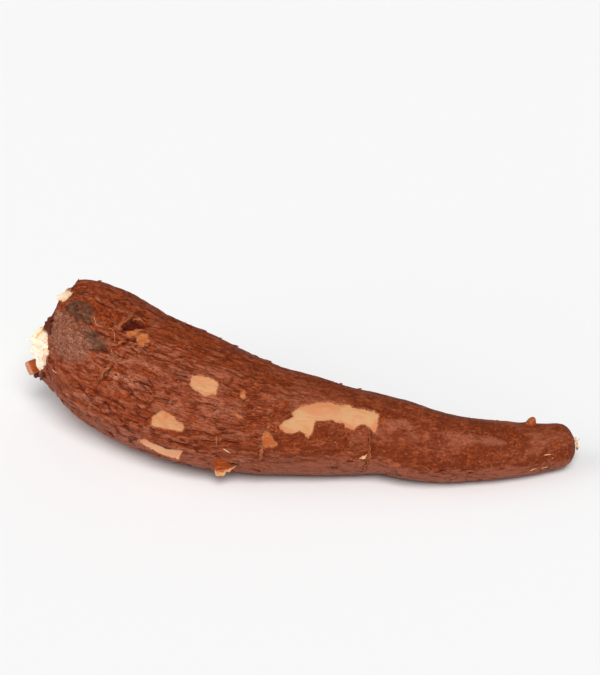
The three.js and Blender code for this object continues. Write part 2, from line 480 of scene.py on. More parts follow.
def grain_places(points):
    """Places as if the root were straight: along it, to its front, and up from its middle."""
    steps = KDTree(len(AXIS_FINE))
    for index, place in enumerate(AXIS_FINE):
        steps.insert(Vector(place), index)
    steps.balance()
    nearest = np.array([steps.find(Vector(point))[1] for point in points])
    distance = AXIS_DISTANCE[nearest]
    forward, front, up = directions_from(axis_direction(distance))
    offset = points - AXIS_FINE[nearest]
    parts = [np.sum(offset * way, -1) for way in (forward, front, up)]
    return np.stack([distance + parts[0], parts[1], parts[2]], -1)


def grid_normals(points):
    """Normals of points in rings."""
    around = np.roll(points, -1, 1) - np.roll(points, 1, 1)
    lengthwise = np.gradient(points, axis=0)
    return unit(np.cross(lengthwise, around))


# ------------------------------------------------------------------ the bark's relief


def coarseness(along):
    """1 on the coarse bark by the stem, down to 0.2 on the smooth bark by the tip."""
    return 1.0 - 0.80 * smoothstep(along, *COARSE_FADE)


def low_flank(grain):
    """1 on the flank that turns towards what the root lies on, 0 on its top."""
    height = grain[:, 2] / np.hypot(grain[:, 1], grain[:, 2])
    return 1 - smoothstep(height, -0.75, 0.25)


def wandering(grain):
    """The grain bent, so that wrinkles run together and part again."""
    bent = grain.copy()
    bent[:, 0] += 3.0 * noise_at(grain, (14, 7, 7), 4.6)
    for side, offset in ((1, 3.1), (2, 8.7)):
        bent[:, side] += 1.7 * noise_at(grain, (20, 9, 9), offset)
        bent[:, side] += 0.7 * noise_at(grain, (8, 4, 4), offset + 1.3)
    return bent


def folds(places, size, offset, octaves):
    """Rounded ridges between sharp creases, about 0.3 on average and 0 in a crease."""
    height = 0.0
    total = 0.0
    for octave in range(octaves):
        share = 0.55**octave
        finer = np.asarray(size, float) / 1.9**octave
        height = height + share * np.abs(noise_at(places, finer, offset + 5.3 * octave))
        total += share
    return height / total


def terraces(value, levels):
    """A smooth value turned into flat layers with short steps between them."""
    level = value * levels
    floor = np.floor(level)
    return (floor + smoothstep(level - floor, 0.66, 1.0)) / levels


def bark_relief(grain):
    """Height of the bark in millimetres: layers, folds, fissures, lumps and growth rings."""
    coarse = coarseness(grain[:, 0])
    flank = 0.60 + 0.40 * low_flank(grain)
    gnarled = 1.22 - 0.22 * smoothstep(grain[:, 0], *GNARLED_FADE)
    busy = gnarled * np.clip(0.80 + 1.3 * noise_at(grain, (26, 13, 13), 44.0), 0.15, 1.5)
    bent = wandering(grain)
    wrinkles = 1.9 * folds(bent, (24, 7.5, 7.5), 1.7, 4) - 0.55
    torn = smoothstep(noise_at(grain, (30, 13, 13), 5.5), -0.30, 0.45)
    fissure = np.abs(noise_at(bent, (26, 6.0, 6.0), 2.2))
    fissures = -0.80 * (1 - smoothstep(fissure, 0.0, 0.10)) * torn * flank
    layered = noise_at(bent, (20, 6, 6), 23.9) + 0.4 * noise_at(bent, (9, 3, 3), 33.2)
    layers = 0.60 * terraces(layered, 3.2)
    split, step = plates_at(bent, (13, 4.0, 4.0), 18.4)
    plates = 0.30 * step - 0.26 * (1 - smoothstep(split, 0.0, 0.14))
    lumps = 0.60 * noise_at(grain, (17, 12, 12), 9.3)
    pits = 0.12 * noise_at(grain, (2.6, 1.4, 1.4), 4.2)
    smooth_part = smoothstep(grain[:, 0], *RINGS_RISE)
    rings = 0.08 * noise_at(grain, (3.6, 30, 30), 7.9)
    dimples = 0.16 * noise_at(grain, (7.0, 4.0, 4.0), 14.4)
    uneven = flank * wrinkles + layers + plates
    rough = coarse * busy * uneven + coarse**1.5 * fissures
    return rough + lumps * (0.4 + 0.6 * coarse) + pits + (rings + dimples) * smooth_part


def shaken(places, grain, size, amount, offsets):
    """Picture places moved about by a noise over the skin."""
    shift = np.stack([noise_at(grain, size, offset) for offset in offsets], -1)
    return places + amount * shift


def tattered(places, grain):
    """Picture places nudged so that torn edges come out ragged."""
    nudged = shaken(places, grain, 1.5, 0.8, (11.0, 17.0))
    return shaken(nudged, grain, 4.0, 1.2, (21.0, 27.0))


# Bare patches on the sides that the camera doesn't see: the distance along the root, the turn
# around it in degrees, and half the length and width.
HIDDEN_PATCHES = [
    {"along": 38.0, "turn": 150.0, "long": 9.0, "wide": 5.0},
    {"along": 74.0, "turn": 196.0, "long": 12.0, "wide": 4.5},
    {"along": 118.0, "turn": 168.0, "long": 7.0, "wide": 5.5},
    {"along": 152.0, "turn": 214.0, "long": 10.0, "wide": 3.6},
    {"along": 205.0, "turn": 176.0, "long": 5.0, "wide": 2.4},
    {"along": 92.0, "turn": 262.0, "long": 8.0, "wide": 4.0},
]


def hidden_bare(grain):
    """Signed distance in millimetres to the nearest patch on the unseen sides."""
    nearest = np.full(len(grain), FAR)
    turns = np.arctan2(grain[:, 2], grain[:, 1])
    radii = np.hypot(grain[:, 1], grain[:, 2])
    ragged = 1.7 * noise_at(grain, 3.0, 31.0) + 4.0 * noise_at(grain, 9.0, 37.0)
    for patch in HIDDEN_PATCHES:
        lengthwise = (grain[:, 0] - patch["along"]) / patch["long"]
        swing = (turns - math.radians(patch["turn"]) + np.pi) % (2 * np.pi) - np.pi
        crosswise = swing * radii / patch["wide"]
        gap = (np.hypot(lengthwise, crosswise) - 1) * patch["wide"] + ragged
        nearest = np.minimum(nearest, gap)
    return nearest


# Painted highlight: the side of the bark that faces the front light, up and to the front, is
# painted palest.
LIT_BROW_SIDE = np.array([0.0, -0.72, 0.69])
# How squarely bark has to face the camera to take a mark. The torn rim goes on out of sight.
FACING = 0.04
FACING_AT_RIM = -0.7
# How far from the break the rim is torn.
TORN_REACH = 30.0


def round_marks(marks, places, seen, inner, outer):
    """1 inside round marks and 0 outside them, fading between two shares of their radius."""
    share = np.zeros(len(places))
    for u, v, radius in marks:
        gap = np.hypot(places[:, 0] - u, places[:, 1] - v) / radius
        share = np.maximum(share, np.where(seen, 1 - smoothstep(gap, inner, outer), 0))
    return share


def skin_marks(points, normals, grain):
    """Every mark on the bark as a field over its points: gaps in millimetres, or shares."""
    places = picture_place(points)
    seen = (normals @ -LOOK) > FACING
    ragged = tattered(places, grain)
    soft = shaken(places, grain, 5.0, 3.0, (41.0, 43.0))
    wavy = shaken(places, grain, 3.5, 0.9, (47.0, 49.0))

    def gap_to(outline, at=ragged):
        return np.where(seen, signed_distance(outline, at) * MM_PER_PIXEL, FAR)

    def gap_to_lines(lines, at=ragged):
        return np.where(seen, side_of_lines(lines, at)[0] * MM_PER_PIXEL, FAR)

    patches = {name: gap_to(outline) for name, outline in BARE_PATCHES.items()}
    orange = np.min([patches[name] for name in ORANGE_PATCHES], 0)
    torn = np.min([signed_distance(line, ragged) for line in TORN_RIM.values()], 0)
    at_rim = (grain[:, 0] < TORN_REACH) & (normals @ -LOOK > FACING_AT_RIM)
    faint = 0.75 * smoothstep(-gap_to(SCORCHED_FAINT, soft), -2.0, 2.0)
    from_crevice, beside = side_of_lines(CREVICES, wavy)
    crevice = 1 - smoothstep(from_crevice * MM_PER_PIXEL, 0.9, 1.9)
    return {
        "bare": np.minimum(hidden_bare(grain), np.min(list(patches.values()), 0)),
        "torn": np.where(at_rim, torn * MM_PER_PIXEL, FAR),
        "sheen": 1 - smoothstep(gap_to_lines(SHEENS, soft), 0.0, 5.4),
        # Painted highlight: how squarely the bark faces the front light.
        "lit_brow": smoothstep(normals @ LIT_BROW_SIDE, 0.72, 0.98),
        "orange": smoothstep(-orange, -0.5, 0.3),
        "blush": 1 - smoothstep(gap_to_lines(BLUSHES), 0.1, 2.0),
        "scorch": np.maximum(smoothstep(-gap_to(SCORCHED, soft), -0.7, 0.7), faint),
        "dusty": smoothstep(-gap_to(DUSTY, soft), -3.0, 2.5),
        "scuff": round_marks(SCUFFS, soft, seen, 0.3, 1.2),
        "spot": round_marks(SPOTS, ragged, seen, 0.5, 1.3),
        "lifted": smoothstep(-gap_to(LIFTED_HOLLOW), -0.6, 0.6),
        "lower": smoothstep(-gap_to(LOWER_HOLLOW), -0.4, 0.4),
        "lower_hollow_shade": np.where(seen, smoothstep(ragged[:, 0], 223, 236), 0.0),
        "ring": gap_to_lines([RING_CRACK]),
        "line": gap_to_lines(FINE_LINES),
        "beside": np.clip(beside * MM_PER_PIXEL, -3.0, 3.0),
        "crevice": np.where(seen, crevice, 0.0),
        "crest": 1 - smoothstep(gap_to_lines(CRESTS, soft), 0.3, 2.2),
    }


# The marks that are gaps.
GAPS = ("bare", "ring", "line", "torn")


def ragged_rim(grain, points):
    """How far the bark is torn back or juts out at the break, fading away from it."""
    near = 1 - smoothstep(grain[:, 0], 2.0, 9.0)
    jag = 0.8 * noise_at(points, 5.0, 61.0) + 0.5 * noise_at(points, 2.0, 67.0)
    return (near * jag)[:, None] * BREAK_NORMAL


def marked_relief(relief, marks, grain):
    """The bark's relief with the patches sunk, their edges curled up, and the cracks cut."""
    bare = marks["bare"]
    under = smoothstep(-bare, -0.30, 0.30)
    peel = 0.06 * noise_at(grain, (9, 2.5, 2.5), 13.0) + 0.5 * noise_at(grain, (17, 12, 12), 9.3)
    curl = 0.30 * np.exp(-(((bare - 0.7) / 0.6) ** 2))
    height = relief * (1 - under) + (peel - PEEL_DEPTH) * under + curl * (1 - under)
    off = smoothstep(-marks["torn"], -0.25, 0.25)
    crumbs = 0.8 * noise_at(grain, 4.0, 78.0) + 0.4 * noise_at(grain, 1.6, 79.0)
    height = height * (1 - off) + (crumbs - 1.3) * off
    height -= 1.2 * marks["lifted"] + 1.5 * marks["lower"]
    height -= 0.85 * np.exp(-((marks["ring"] / 0.6) ** 2))
    cut = marks["crevice"] * np.exp(-((marks["beside"] / 0.6) ** 2))
    lip = marks["crevice"] * np.exp(-(((marks["beside"] + 1.1) / 0.6) ** 2))
    height += 0.40 * marks["crest"] * (1 - under) + (0.30 * lip - 0.95 * cut) * (1 - under)
    height += 0.12 * np.exp(-((marks["line"] / 0.4) ** 2)) + 0.25 * marks["spot"]
    return height


# ------------------------------------------------------------------ the broken end

# Where the flesh stands proud of the rim: a picture place, a height and a spread in mm.
FLESH_HORNS = [
    (66, 296, 2.6, 3.2), (73, 290, 1.6, 2.2), (46, 337, 3.6, 4.0), (45, 347, 5.6, 4.4),
    (44, 355, 4.6, 4.0),
]
CORD_RADIUS = 1.5
# How deep inside a torn outline, in mm, the skin is flesh right through.
FLESH_INSIDE = -0.5


def flesh_horns(places, rim):
    """Extra height of torn flesh near the places where it juts past the rim."""
    rim_places = picture_place(rim)
    height = np.zeros(len(places))
    for u, v, tall, spread in FLESH_HORNS:
        root = rim[np.argmin(np.hypot(rim_places[:, 0] - u, rim_places[:, 1] - v))]
        gap = np.linalg.norm(places - root, axis=1)
        gap = gap + 1.2 * noise_at(places, 3.2, 77.0)
        jagged = 1 + 0.40 * noise_at(places, 3.4, 71.0) + 0.35 * noise_at(places, 1.6, 74.0)
        near = 1 - smoothstep(gap, spread * 0.7, spread * 1.4)
        height = np.maximum(height, tall * jagged * near)
    return height


def break_rows(rim, centre):
    """Rings of the torn face from just inside the rim to its middle, with their shares."""
    shares = np.linspace(1, 0, FACE_ROWS + 1)[1:-1] ** 0.85
    flat = rim - centre
    flat = flat - (flat @ BREAK_NORMAL)[:, None] * BREAK_NORMAL
    even = soften(flat[None].repeat(3, 0), 12)[1]
    blend = (shares**6)[:, None, None]
    rings = centre + shares[:, None, None] * (flat * blend + even * (1 - blend))
    places = rings.reshape(-1, 3)
    share = np.repeat(shares, COLUMNS)
    crust = np.clip(noise_at(places, 8.0, 51.0) + 0.30, 0, 1) * 2.2
    crust *= np.exp(-(((share - 0.88) / 0.12) ** 2))
    torn = 2.0 * noise_at(places, 13.0, 53.0) + 1.3 * noise_at(places, 5.5, 57.0)
    steps = 1.6 * terraces(noise_at(places, 10.0, 55.0), 3.0)
    crumbs = 0.75 * folds(places, 2.6, 59.0, 2)
    cup = -2.2 * (1 - share**2)
    from_cord = np.linalg.norm(places - centre, axis=1)
    cord = 2.2 * (1 - smoothstep(from_cord, CORD_RADIUS * 0.6, CORD_RADIUS * 1.3))
    lift = crust + torn + steps + crumbs + cup + cord + flesh_horns(places, rim)
    lift *= 1 - share**24
    return places + lift[:, None] * BREAK_NORMAL, share


# ------------------------------------------------------------------ meshes and attributes


def grid_faces(rows, first):
    """Quads between neighbouring rings, faces outwards."""
    row, column = np.meshgrid(np.arange(rows - 1), np.arange(COLUMNS), indexing="ij")
    following = (column + 1) % COLUMNS
    a = first + row * COLUMNS + column
    b = first + row * COLUMNS + following
    c = first + (row + 1) * COLUMNS + following
    d = first + (row + 1) * COLUMNS + column
    return np.stack([a, d, c, b], -1).reshape(-1, 4).tolist()


def add_field(mesh, name, values):
    """A number for every point of a mesh."""
    field = mesh.attributes.new(name, "FLOAT", "POINT")
    field.data.foreach_set("value", np.asarray(values, np.float32))


def add_directions(mesh, name, values):
    """A vector for every point of a mesh."""
    field = mesh.attributes.new(name, "FLOAT_VECTOR", "POINT")
    field.data.foreach_set("vector", np.asarray(values, np.float32).ravel())


def make_piece(name, points, faces, materials):
    """A piece from points in millimetres."""
    mesh = bpy.data.meshes.new(name)
    resting = np.array(points, float)
    resting[:, 2] = np.maximum(resting[:, 2], REST_GAP)
    mesh.from_pydata((resting * MM).tolist(), [], faces)
    mesh.validate()
    mesh.polygons.foreach_set("use_smooth", [True] * len(mesh.polygons))
    for material in materials:
        mesh.materials.append(material)
    piece = bpy.data.objects.new(name, mesh)
    bpy.context.scene.collection.objects.link(piece)
    return piece


def closed_faces(face_count, rows, skin_first, last):
    """The faces of the torn face, its rim, the bark and the tip, all facing outwards."""
    column = np.arange(COLUMNS)
    following = (column + 1) % COLUMNS
    inner = 1 + (face_count - 1) * COLUMNS
    middle_fan = np.stack([np.zeros_like(column), inner + column, inner + following], -1)
    torn = grid_faces(face_count, 1)
    rim = np.stack(
        [1 + column, skin_first + column, skin_first + following, 1 + following], -1
    )
    ring = last - COLUMNS
    tip_fan = np.stack([ring + column, np.full_like(column, last), ring + following], -1)
    flesh = middle_fan.tolist() + torn
    return flesh, rim.tolist() + grid_faces(rows, skin_first) + tip_fan.tolist()


def face_out(mesh):
    """Turns every face of a mesh outwards."""
    work = bmesh.new()
    work.from_mesh(mesh)
    bmesh.ops.recalc_face_normals(work, faces=work.faces)
    work.to_mesh(mesh)
    work.free()


def outward_normals(base):
    """The skin's normals, turned outwards, in one list."""
    normals = grid_normals(base)
    middle = base.mean(1, keepdims=True)
    if np.mean(np.sum(normals[:BODY_ROWS] * (base - middle)[:BODY_ROWS], -1)) < 0:
        normals = -normals
    return normals.reshape(-1, 3)


def write_body_fields(mesh, points, share, marks, torn_field, hollow, grain, along):
    """The marks, shares and directions that the materials and the strewn things read."""
    skin_first = 1 + len(share)

    def whole(values, on_break):
        front = np.broadcast_to(on_break, (skin_first,) + values.shape[1:])
        return np.concatenate([front, values, [values[-COLUMNS:].mean(0)]])

    fields = {
        name: whole(values, FAR if name in GAPS else 0.0) for name, values in marks.items()
    }
    fields["torn"] = torn_field
    fields["hollow"] = whole(hollow, 0.0)
    fields["coarse"] = whole(coarseness(grain[:, 0]), 1.0)
    fields["low"] = whole(low_flank(grain), 0.0)
    fields["share"] = np.concatenate([[0.0], share, np.ones(len(grain) + 1)])
    for name, values in fields.items():
        add_field(mesh, name, values)
    turns = np.concatenate([[0.0], np.tile(TURNS, len(points) // COLUMNS), [0.0]])
    ray = np.stack([9 * np.cos(turns), 9 * np.sin(turns), 2 * fields["share"]], -1)
    run = np.repeat(axis_direction(np.clip(along, 0, ROOT_LENGTH)), COLUMNS, 0)
    add_directions(mesh, "grain", np.vstack([points[:skin_first], grain, grain[-1]]))
    add_directions(mesh, "ray", ray)
    add_directions(mesh, "run", whole(run, SIDEWAYS))


def make_body(materials):
    """The root from its torn face to its tip, in one closed skin."""
    base, along = smooth_skin(surface_tree(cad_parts[NODE].data))
    rows = len(base)
    points = base.reshape(-1, 3)
    outward = outward_normals(base)
    grain = grain_places(points)
    marks = skin_marks(points, outward, grain)
    relief = bark_relief(grain)
    height = marked_relief(relief, marks, grain)
    at_tip = np.repeat(smoothstep(np.arange(rows), rows - TIP_CALM_ROWS, rows), COLUMNS)
    skin = points + outward * (height * (1 - TIP_CALM * at_tip))[:, None]
    skin += ragged_rim(grain, points)
    level = relief.reshape(rows, COLUMNS)
    # How far each point lies below its softened surroundings; the bark is painted darker there as
    # shade.
    hollow = np.clip((soften(level.copy(), 9) - level).ravel(), -0.35, 1.0)

    torn, share = break_rows(skin[:COLUMNS], axis_at(np.array([0.0]))[0])
    torn_rings = len(torn) // COLUMNS
    everything = np.vstack([torn[-COLUMNS:].mean(0), torn, skin, skin[-COLUMNS:].mean(0)])
    flesh, bark_faces = closed_faces(torn_rings, rows, 1 + len(torn), len(everything) - 1)
    piece = make_piece("cassava_root_body", everything, flesh + bark_faces, materials)
    rim_torn = np.tile(marks["torn"][:COLUMNS], torn_rings)
    torn_field = np.concatenate([[FAR], rim_torn, marks["torn"], [FAR]])
    all_flesh = torn_field < FLESH_INSIDE
    flesh_slot = 1
    kinds = [flesh_slot] * len(flesh)
    kinds += [flesh_slot * int(all_flesh[face].all()) for face in bark_faces]
    piece.data.polygons.foreach_set("material_index", kinds)
    write_body_fields(piece.data, everything, share, marks, torn_field, hollow, grain, along)
    face_out(piece.data)
    return piece


# ------------------------------------------------------------------ small pieces on the skin

# Curls, flakes and shreds that stand off the skin. Each runs through picture places and has, at
# every place, a width and a lift in millimetres and a twist in degrees. "curl" bends it across,
# in degrees, and one that "hangs" reaches down from its line instead of lying along the skin.

# Curls and shreds of bark, over the lifted hollow and loose on the skin.
PEEL_CURLS = {
    "flap_over_hollow": {
        "places": [(119.5, 328), (122, 324), (125, 321), (128, 318.5), (131, 315.5), (135, 312.5)],
        "widths": [0.8, 1.9, 2.0, 1.4, 1.7, 0.7], "lifts": [0.3, 0.8, 1.0, 0.9, 0.9, 0.3],
        "twists": [0, 25, 40, 20, 40, 10], "curl": 60,
    },
    "flap_beside_hollow": {
        "places": [(133, 321), (136, 319.5), (139.5, 320), (143.5, 322)],
        "widths": [0.5, 1.1, 1.0, 0.5], "lifts": [0.3, 0.7, 0.7, 0.3],
        "twists": [15, 25, 10, 0], "curl": 40,
    },
    "twisted_strip": {
        "places": [
            (101.5, 378.5), (103.5, 374), (105, 371), (107.5, 369), (110, 366), (111, 364.5),
        ],
        "widths": [0.9, 1.8, 2.1, 1.5, 2.0, 0.8], "lifts": [0.3, 1.1, 1.5, 1.2, 1.3, 0.4],
        "twists": [-10, 10, 25, 0, 20, 10], "curl": 55,
    },
    "small_flake": {
        "places": [(117.4, 345.6), (119.5, 344), (121.5, 343.4), (123.8, 341.8)],
        "widths": [0.5, 1.1, 1.0, 0.5], "lifts": [0.2, 0.7, 0.8, 0.4],
        "twists": [0, 30, 10, 0], "curl": 50,
    },
    "hanging_flake": {
        "places": [(262.3, 446.5), (261.8, 450), (261.2, 454), (259.8, 459)],
        "widths": [1.0, 1.5, 1.5, 0.5], "lifts": [0.2, 0.6, 0.9, 1.0],
        "twists": [0, 10, 20, 10], "curl": 45,
    },
    "cross_shred": {
        "places": [(217, 435.3), (216.6, 439.5), (216.8, 444.6)],
        "widths": [0.4, 0.9, 0.4], "lifts": [0.3, 0.6, 0.3], "twists": [0, 20, 0], "curl": 30,
    },
    "cross_shred_small": {
        "places": [(219.6, 436.5), (220.3, 438.5), (219.8, 441.5)],
        "widths": [0.3, 0.7, 0.3], "lifts": [0.3, 0.5, 0.3], "twists": [0, 10, 0], "curl": 20,
    },
}
# Flakes that stand along the ring crack.
RING_FLAKES = {
    "ring_flake_top": {
        "places": [(369.4, 431.0), (370.8, 434), (370.2, 437.5)],
        "widths": [0.6, 2.0, 0.7], "lifts": [0.1, 0.8, 0.2], "twists": [10, 40, -10], "curl": 70,
    },
    "ring_flake_high": {
        "places": [(370.4, 436), (368.6, 439.5), (367.4, 443.5)],
        "widths": [0.6, 2.0, 0.7], "lifts": [0.2, 0.8, 0.2], "twists": [10, -40, 0], "curl": 70,
    },
    "ring_flake_mid": {
        "places": [(369.4, 442.6), (371.4, 447), (370.6, 451.4)],
        "widths": [0.6, 2.1, 0.8], "lifts": [0.2, 0.9, 0.3], "twists": [0, 40, 10], "curl": 70,
    },
    "ring_flake_wide": {
        "places": [(369.4, 449.5), (367.4, 453.4), (366, 457.4), (366.4, 460)],
        "widths": [0.6, 2.6, 3.2, 0.7], "lifts": [0.2, 0.9, 1.1, 0.3],
        "twists": [0, 15, -10, 0], "curl": 60,
    },
    "ring_flake_low": {
        "places": [(366.4, 459), (366.8, 462), (365.2, 465.5)],
        "widths": [0.6, 1.6, 0.6], "lifts": [0.1, 0.6, 0.1], "twists": [0, -35, 0], "curl": 60,
    },
    "ring_flake_end": {
        "places": [(365, 465.2), (363.8, 467.6), (362.8, 470)],
        "widths": [0.5, 1.5, 0.5], "lifts": [0.1, 0.6, 0.1], "twists": [0, 30, 0], "curl": 60,
    },
}
# The curl of peel that hangs below the lower hollow.
EDGE_CURLS = {
    "curl_below_hollow": {
        "places": [
            (214.8, 468.2), (216.6, 468.4), (219.4, 468.4), (222.4, 468.2), (224.8, 467.8),
            (226.2, 467.6), (228.4, 467.2), (230.8, 466.6), (236, 465.6),
        ],
        "widths": [1.6, 3.7, 3.9, 3.9, 3.0, 2.2, 2.5, 1.8, 0.3],
        "lifts": [0.7, 1.8, 1.9, 1.9, 1.4, 1.0, 1.2, 0.8, 0.1],
        "twists": [84, 84, 78, 84, 88, 92, 84, 86, 90],
        "curl": 30, "hangs": True,
    },
}
# Dark shards of bark left standing at the break.
RIM_SHARDS = {
    "rim_shard": {
        "places": [(54, 315), (51.5, 319), (49.4, 323.5), (49, 328), (50, 331.5), (49.6, 335)],
        "widths": [0.5, 2.8, 4.0, 3.4, 2.2, 0.5], "lifts": [0.2, 0.6, 0.8, 0.7, 0.5, 0.2],
        "twists": [0, -8, -12, -10, -6, 0], "curl": 22,
    },
    "low_rim_shard": {
        "places": [(44.5, 372), (42.5, 375.5), (41, 379)],
        "widths": [0.8, 2.0, 0.8], "lifts": [0.3, 0.5, 0.3], "twists": [0, 0, 0], "curl": 15,
    },
}
# Pale slivers: by the ring crack, on the flank, by the rim and near the tip.
SLIVERS = {
    "ring_sliver": {
        "places": [(367.4, 453.6), (363.6, 456.2), (359.4, 457.8)],
        "widths": [1.2, 1.5, 0.4], "lifts": [0.5, 0.9, 0.5], "twists": [0, 10, 0], "curl": 30,
    },
    "sliver_on_flank": {
        "places": [(223.6, 448.6), (227, 450.3), (230.7, 453.1)],
        "widths": [0.3, 0.55, 0.25], "lifts": [0.3, 0.5, 0.3], "twists": [0, 0, 0], "curl": 10,
    },
    "sliver_by_rim": {
        "places": [(52.6, 369.5), (54.6, 371.0), (57.0, 373.0)],
        "widths": [0.2, 0.6, 0.2], "lifts": [0.2, 0.4, 0.2], "twists": [0, 0, 0], "curl": 10,
    },
    "tip_sliver": {
        "places": [(544, 455.2), (547.5, 454.6), (551, 454.5)],
        "widths": [0.25, 0.4, 0.25], "lifts": [0.1, 0.2, 0.1], "twists": [0, 0, 0], "curl": 10,
    },
    "tip_sliver_low": {
        "places": [(530.6, 470.8), (532.5, 469.2), (536.5, 468.4)],
        "widths": [0.5, 0.4, 0.2], "lifts": [0.1, 0.2, 0.1], "twists": [0, 0, 0], "curl": 10,
    },
    "tip_sliver_end": {
        "places": [(541.5, 468.3), (544.5, 467.2), (547.5, 466.6)],
        "widths": [0.2, 0.3, 0.2], "lifts": [0.1, 0.2, 0.1], "twists": [0, 0, 0], "curl": 10,
    },
}
# The tuft of torn shreds and the one hair at the tip.
TIP_TUFT = {
    "tip_tuft_high": {
        "places": [(574.2, 439.2), (575.4, 441.4), (576.6, 444.4)],
        "widths": [1.2, 3.0, 1.6], "lifts": [0.1, 0.5, 0.6], "twists": [0, 10, 0], "curl": 12,
    },
    "tip_tuft_low": {
        "places": [(574.6, 442.8), (575.8, 446.3), (576.8, 450.2)],
        "widths": [1.6, 3.2, 1.2], "lifts": [0.2, 0.6, 0.4], "twists": [0, -10, 0], "curl": 12,
    },
    "tip_hair": {
        "places": [(575.5, 442), (577.6, 440.2), (579.3, 438.4)],
        "widths": [0.5, 0.35, 0.15], "lifts": [0.1, 0.1, 0.1], "twists": [0, 0, 0], "curl": 5,
    },
}
# How thick the strips of each piece are, in millimetres.
THICKNESS = {
    "peel_curls": 0.40, "ring_flakes": 0.30, "edge_curls": 0.30, "rim_shards": 0.90,
    "pale_slivers": 0.35, "tip_tuft": 0.45,
}
# Hairs: the picture places that each runs through, and its thickness in millimetres.
FIBRES = [
    [[(108.5, 328.8), (112, 330), (114.6, 333.6), (115.2, 338), (114.6, 343)], 0.20],
    [[(111.4, 349), (112.6, 351), (113.2, 353.4)], 0.18],
    [[(93.6, 316.6), (94.8, 319.6), (96, 322.6), (97.4, 325.6)], 0.34],
    [[(133, 347), (136.5, 350), (139.6, 354)], 0.26],
    [[(257, 407), (258.6, 407.6), (260.2, 409.4)], 0.22],
    [[(265.5, 437), (268, 436.2), (271, 437)], 0.20],
]


def on_skin(tree, u, v):
    """The bark's point and normal behind a picture place. Just past the bark's outline it is
    the point in the air that is nearest to the bark."""
    eye = Vector(EYE)
    line = Vector(sight_line(u, v))
    place, normal, _, _ = tree.ray_cast(eye, line)
    if place is None:
        place = eye + line * CAMERA_DISTANCE
        for _ in range(8):
            near, normal, _, _ = tree.find_nearest(place)
            place = eye + line * (near - eye).dot(line)
    return np.array(place), np.array(normal)


def turned_about(vectors, axes, angles):
    """Vectors turned about axes at right angles to them."""
    cosine = np.cos(angles)[:, None]
    sine = np.sin(angles)[:, None]
    return vectors * cosine + np.cross(axes, vectors) * sine


def strip_shape(tree, spec, thickness, length_steps=20, half_steps=4):
    """Points and faces of one thin closed strip that lies along the skin."""
    hits = [on_skin(tree, u, v) for u, v in spec["places"]]
    shares = np.linspace(0, 1, length_steps)
    middle = spline([hit[0] for hit in hits], shares)
    normal = unit(spline([hit[1] for hit in hits], shares))
    if spec.get("hangs"):
        normal = np.tile(-UPWARDS, (length_steps, 1))
    settings = np.stack([spec["widths"], spec["lifts"], spec["twists"]], -1)
    width, lift, twist = spline(settings, shares).T
    ragged = 0.3 if spec.get("hangs") else 0.9
    width = width * (1 + ragged * noise_at(middle, 1.1, 3.3))
    lift = lift + 0.22 * noise_at(middle, 1.3, 6.6)
    tangent = unit(np.gradient(middle, axis=0))
    side = unit(np.cross(normal, tangent))
    middle = middle + normal * lift[:, None]
    side = turned_about(side, tangent, np.radians(twist))
    out = np.cross(tangent, side)

    bend = math.radians(max(spec["curl"], 1.0))
    across = np.linspace(-1, 1, 2 * half_steps + 1)
    sideways = (width / 2)[:, None] * (np.sin(bend * across) / bend)[None]
    upward = (width / 2)[:, None] * ((1 - np.cos(bend * across)) / bend)[None]
    half = 0.5 * thickness * np.sqrt(1 - 0.85 * across**2)
    upper = upward + half[None]
    lower = upward - half[None]
    loop_side = np.concatenate([sideways, sideways[:, ::-1]], 1)
    loop_up = np.concatenate([upper, lower[:, ::-1]], 1)
    rings = (
        middle[:, None] + side[:, None] * loop_side[..., None] + out[:, None] * loop_up[..., None]
    )
    count = rings.shape[1]
    faces = []
    for row in range(length_steps - 1):
        for step in range(count):
            after = (step + 1) % count
            start = row * count
            faces.append([
                start + step, start + after, start + count + after, start + count + step,
            ])
    faces.append(list(range(count))[::-1])
    faces.append([(length_steps - 1) * count + step for step in range(count)])
    outwards = 0.85 + 0.7 * across if spec.get("hangs") else np.abs(across)
    edge = np.tile(np.concatenate([outwards, outwards[::-1]]), length_steps)
    return rings.reshape(-1, 3), faces, edge


def rounded_block(centre, axes, sizes, squareness, steps, rough, offset):
    """Points and faces of a block with rounded edges and a rough face. Higher squareness is
    nearer to a box."""
    work = bmesh.new()
    bmesh.ops.create_cube(work, size=2.0)
    bmesh.ops.subdivide_edges(work, edges=work.edges, cuts=steps, use_grid_fill=True)
    local = np.array([vertex.co for vertex in work.verts])
    faces = [[vertex.index for vertex in face.verts] for face in work.faces]
    work.free()
    length = np.sum(np.abs(local) ** squareness, 1) ** (1 / squareness)
    local = local / length[:, None] * np.asarray(sizes) / 2
    points = np.asarray(centre) + local @ np.asarray(axes)
    out = unit(local) @ np.asarray(axes)
    bumps = rough * noise_at(points, 1.7, offset) + 0.5 * rough * noise_at(points, 0.7, offset)
    return points + out * bumps[:, None], faces


def joined(shapes):
    """Several shapes as one list of points and one of faces."""
    points = []
    faces = []
    first = 0
    for shape_points, shape_faces, *_ in shapes:
        points.append(shape_points)
        faces += [[first + corner for corner in face] for face in shape_faces]
        first += len(shape_points)
    return np.vstack(points), faces


def make_strips(name, tree, specs, material):
    """One piece from a table of strips."""
    shapes = [strip_shape(tree, spec, THICKNESS[name]) for spec in specs.values()]
    piece = make_piece(name, *joined(shapes), [material])
    add_field(piece.data, "edge", np.concatenate([shape[2] for shape in shapes]))
    face_out(piece.data)
    return piece


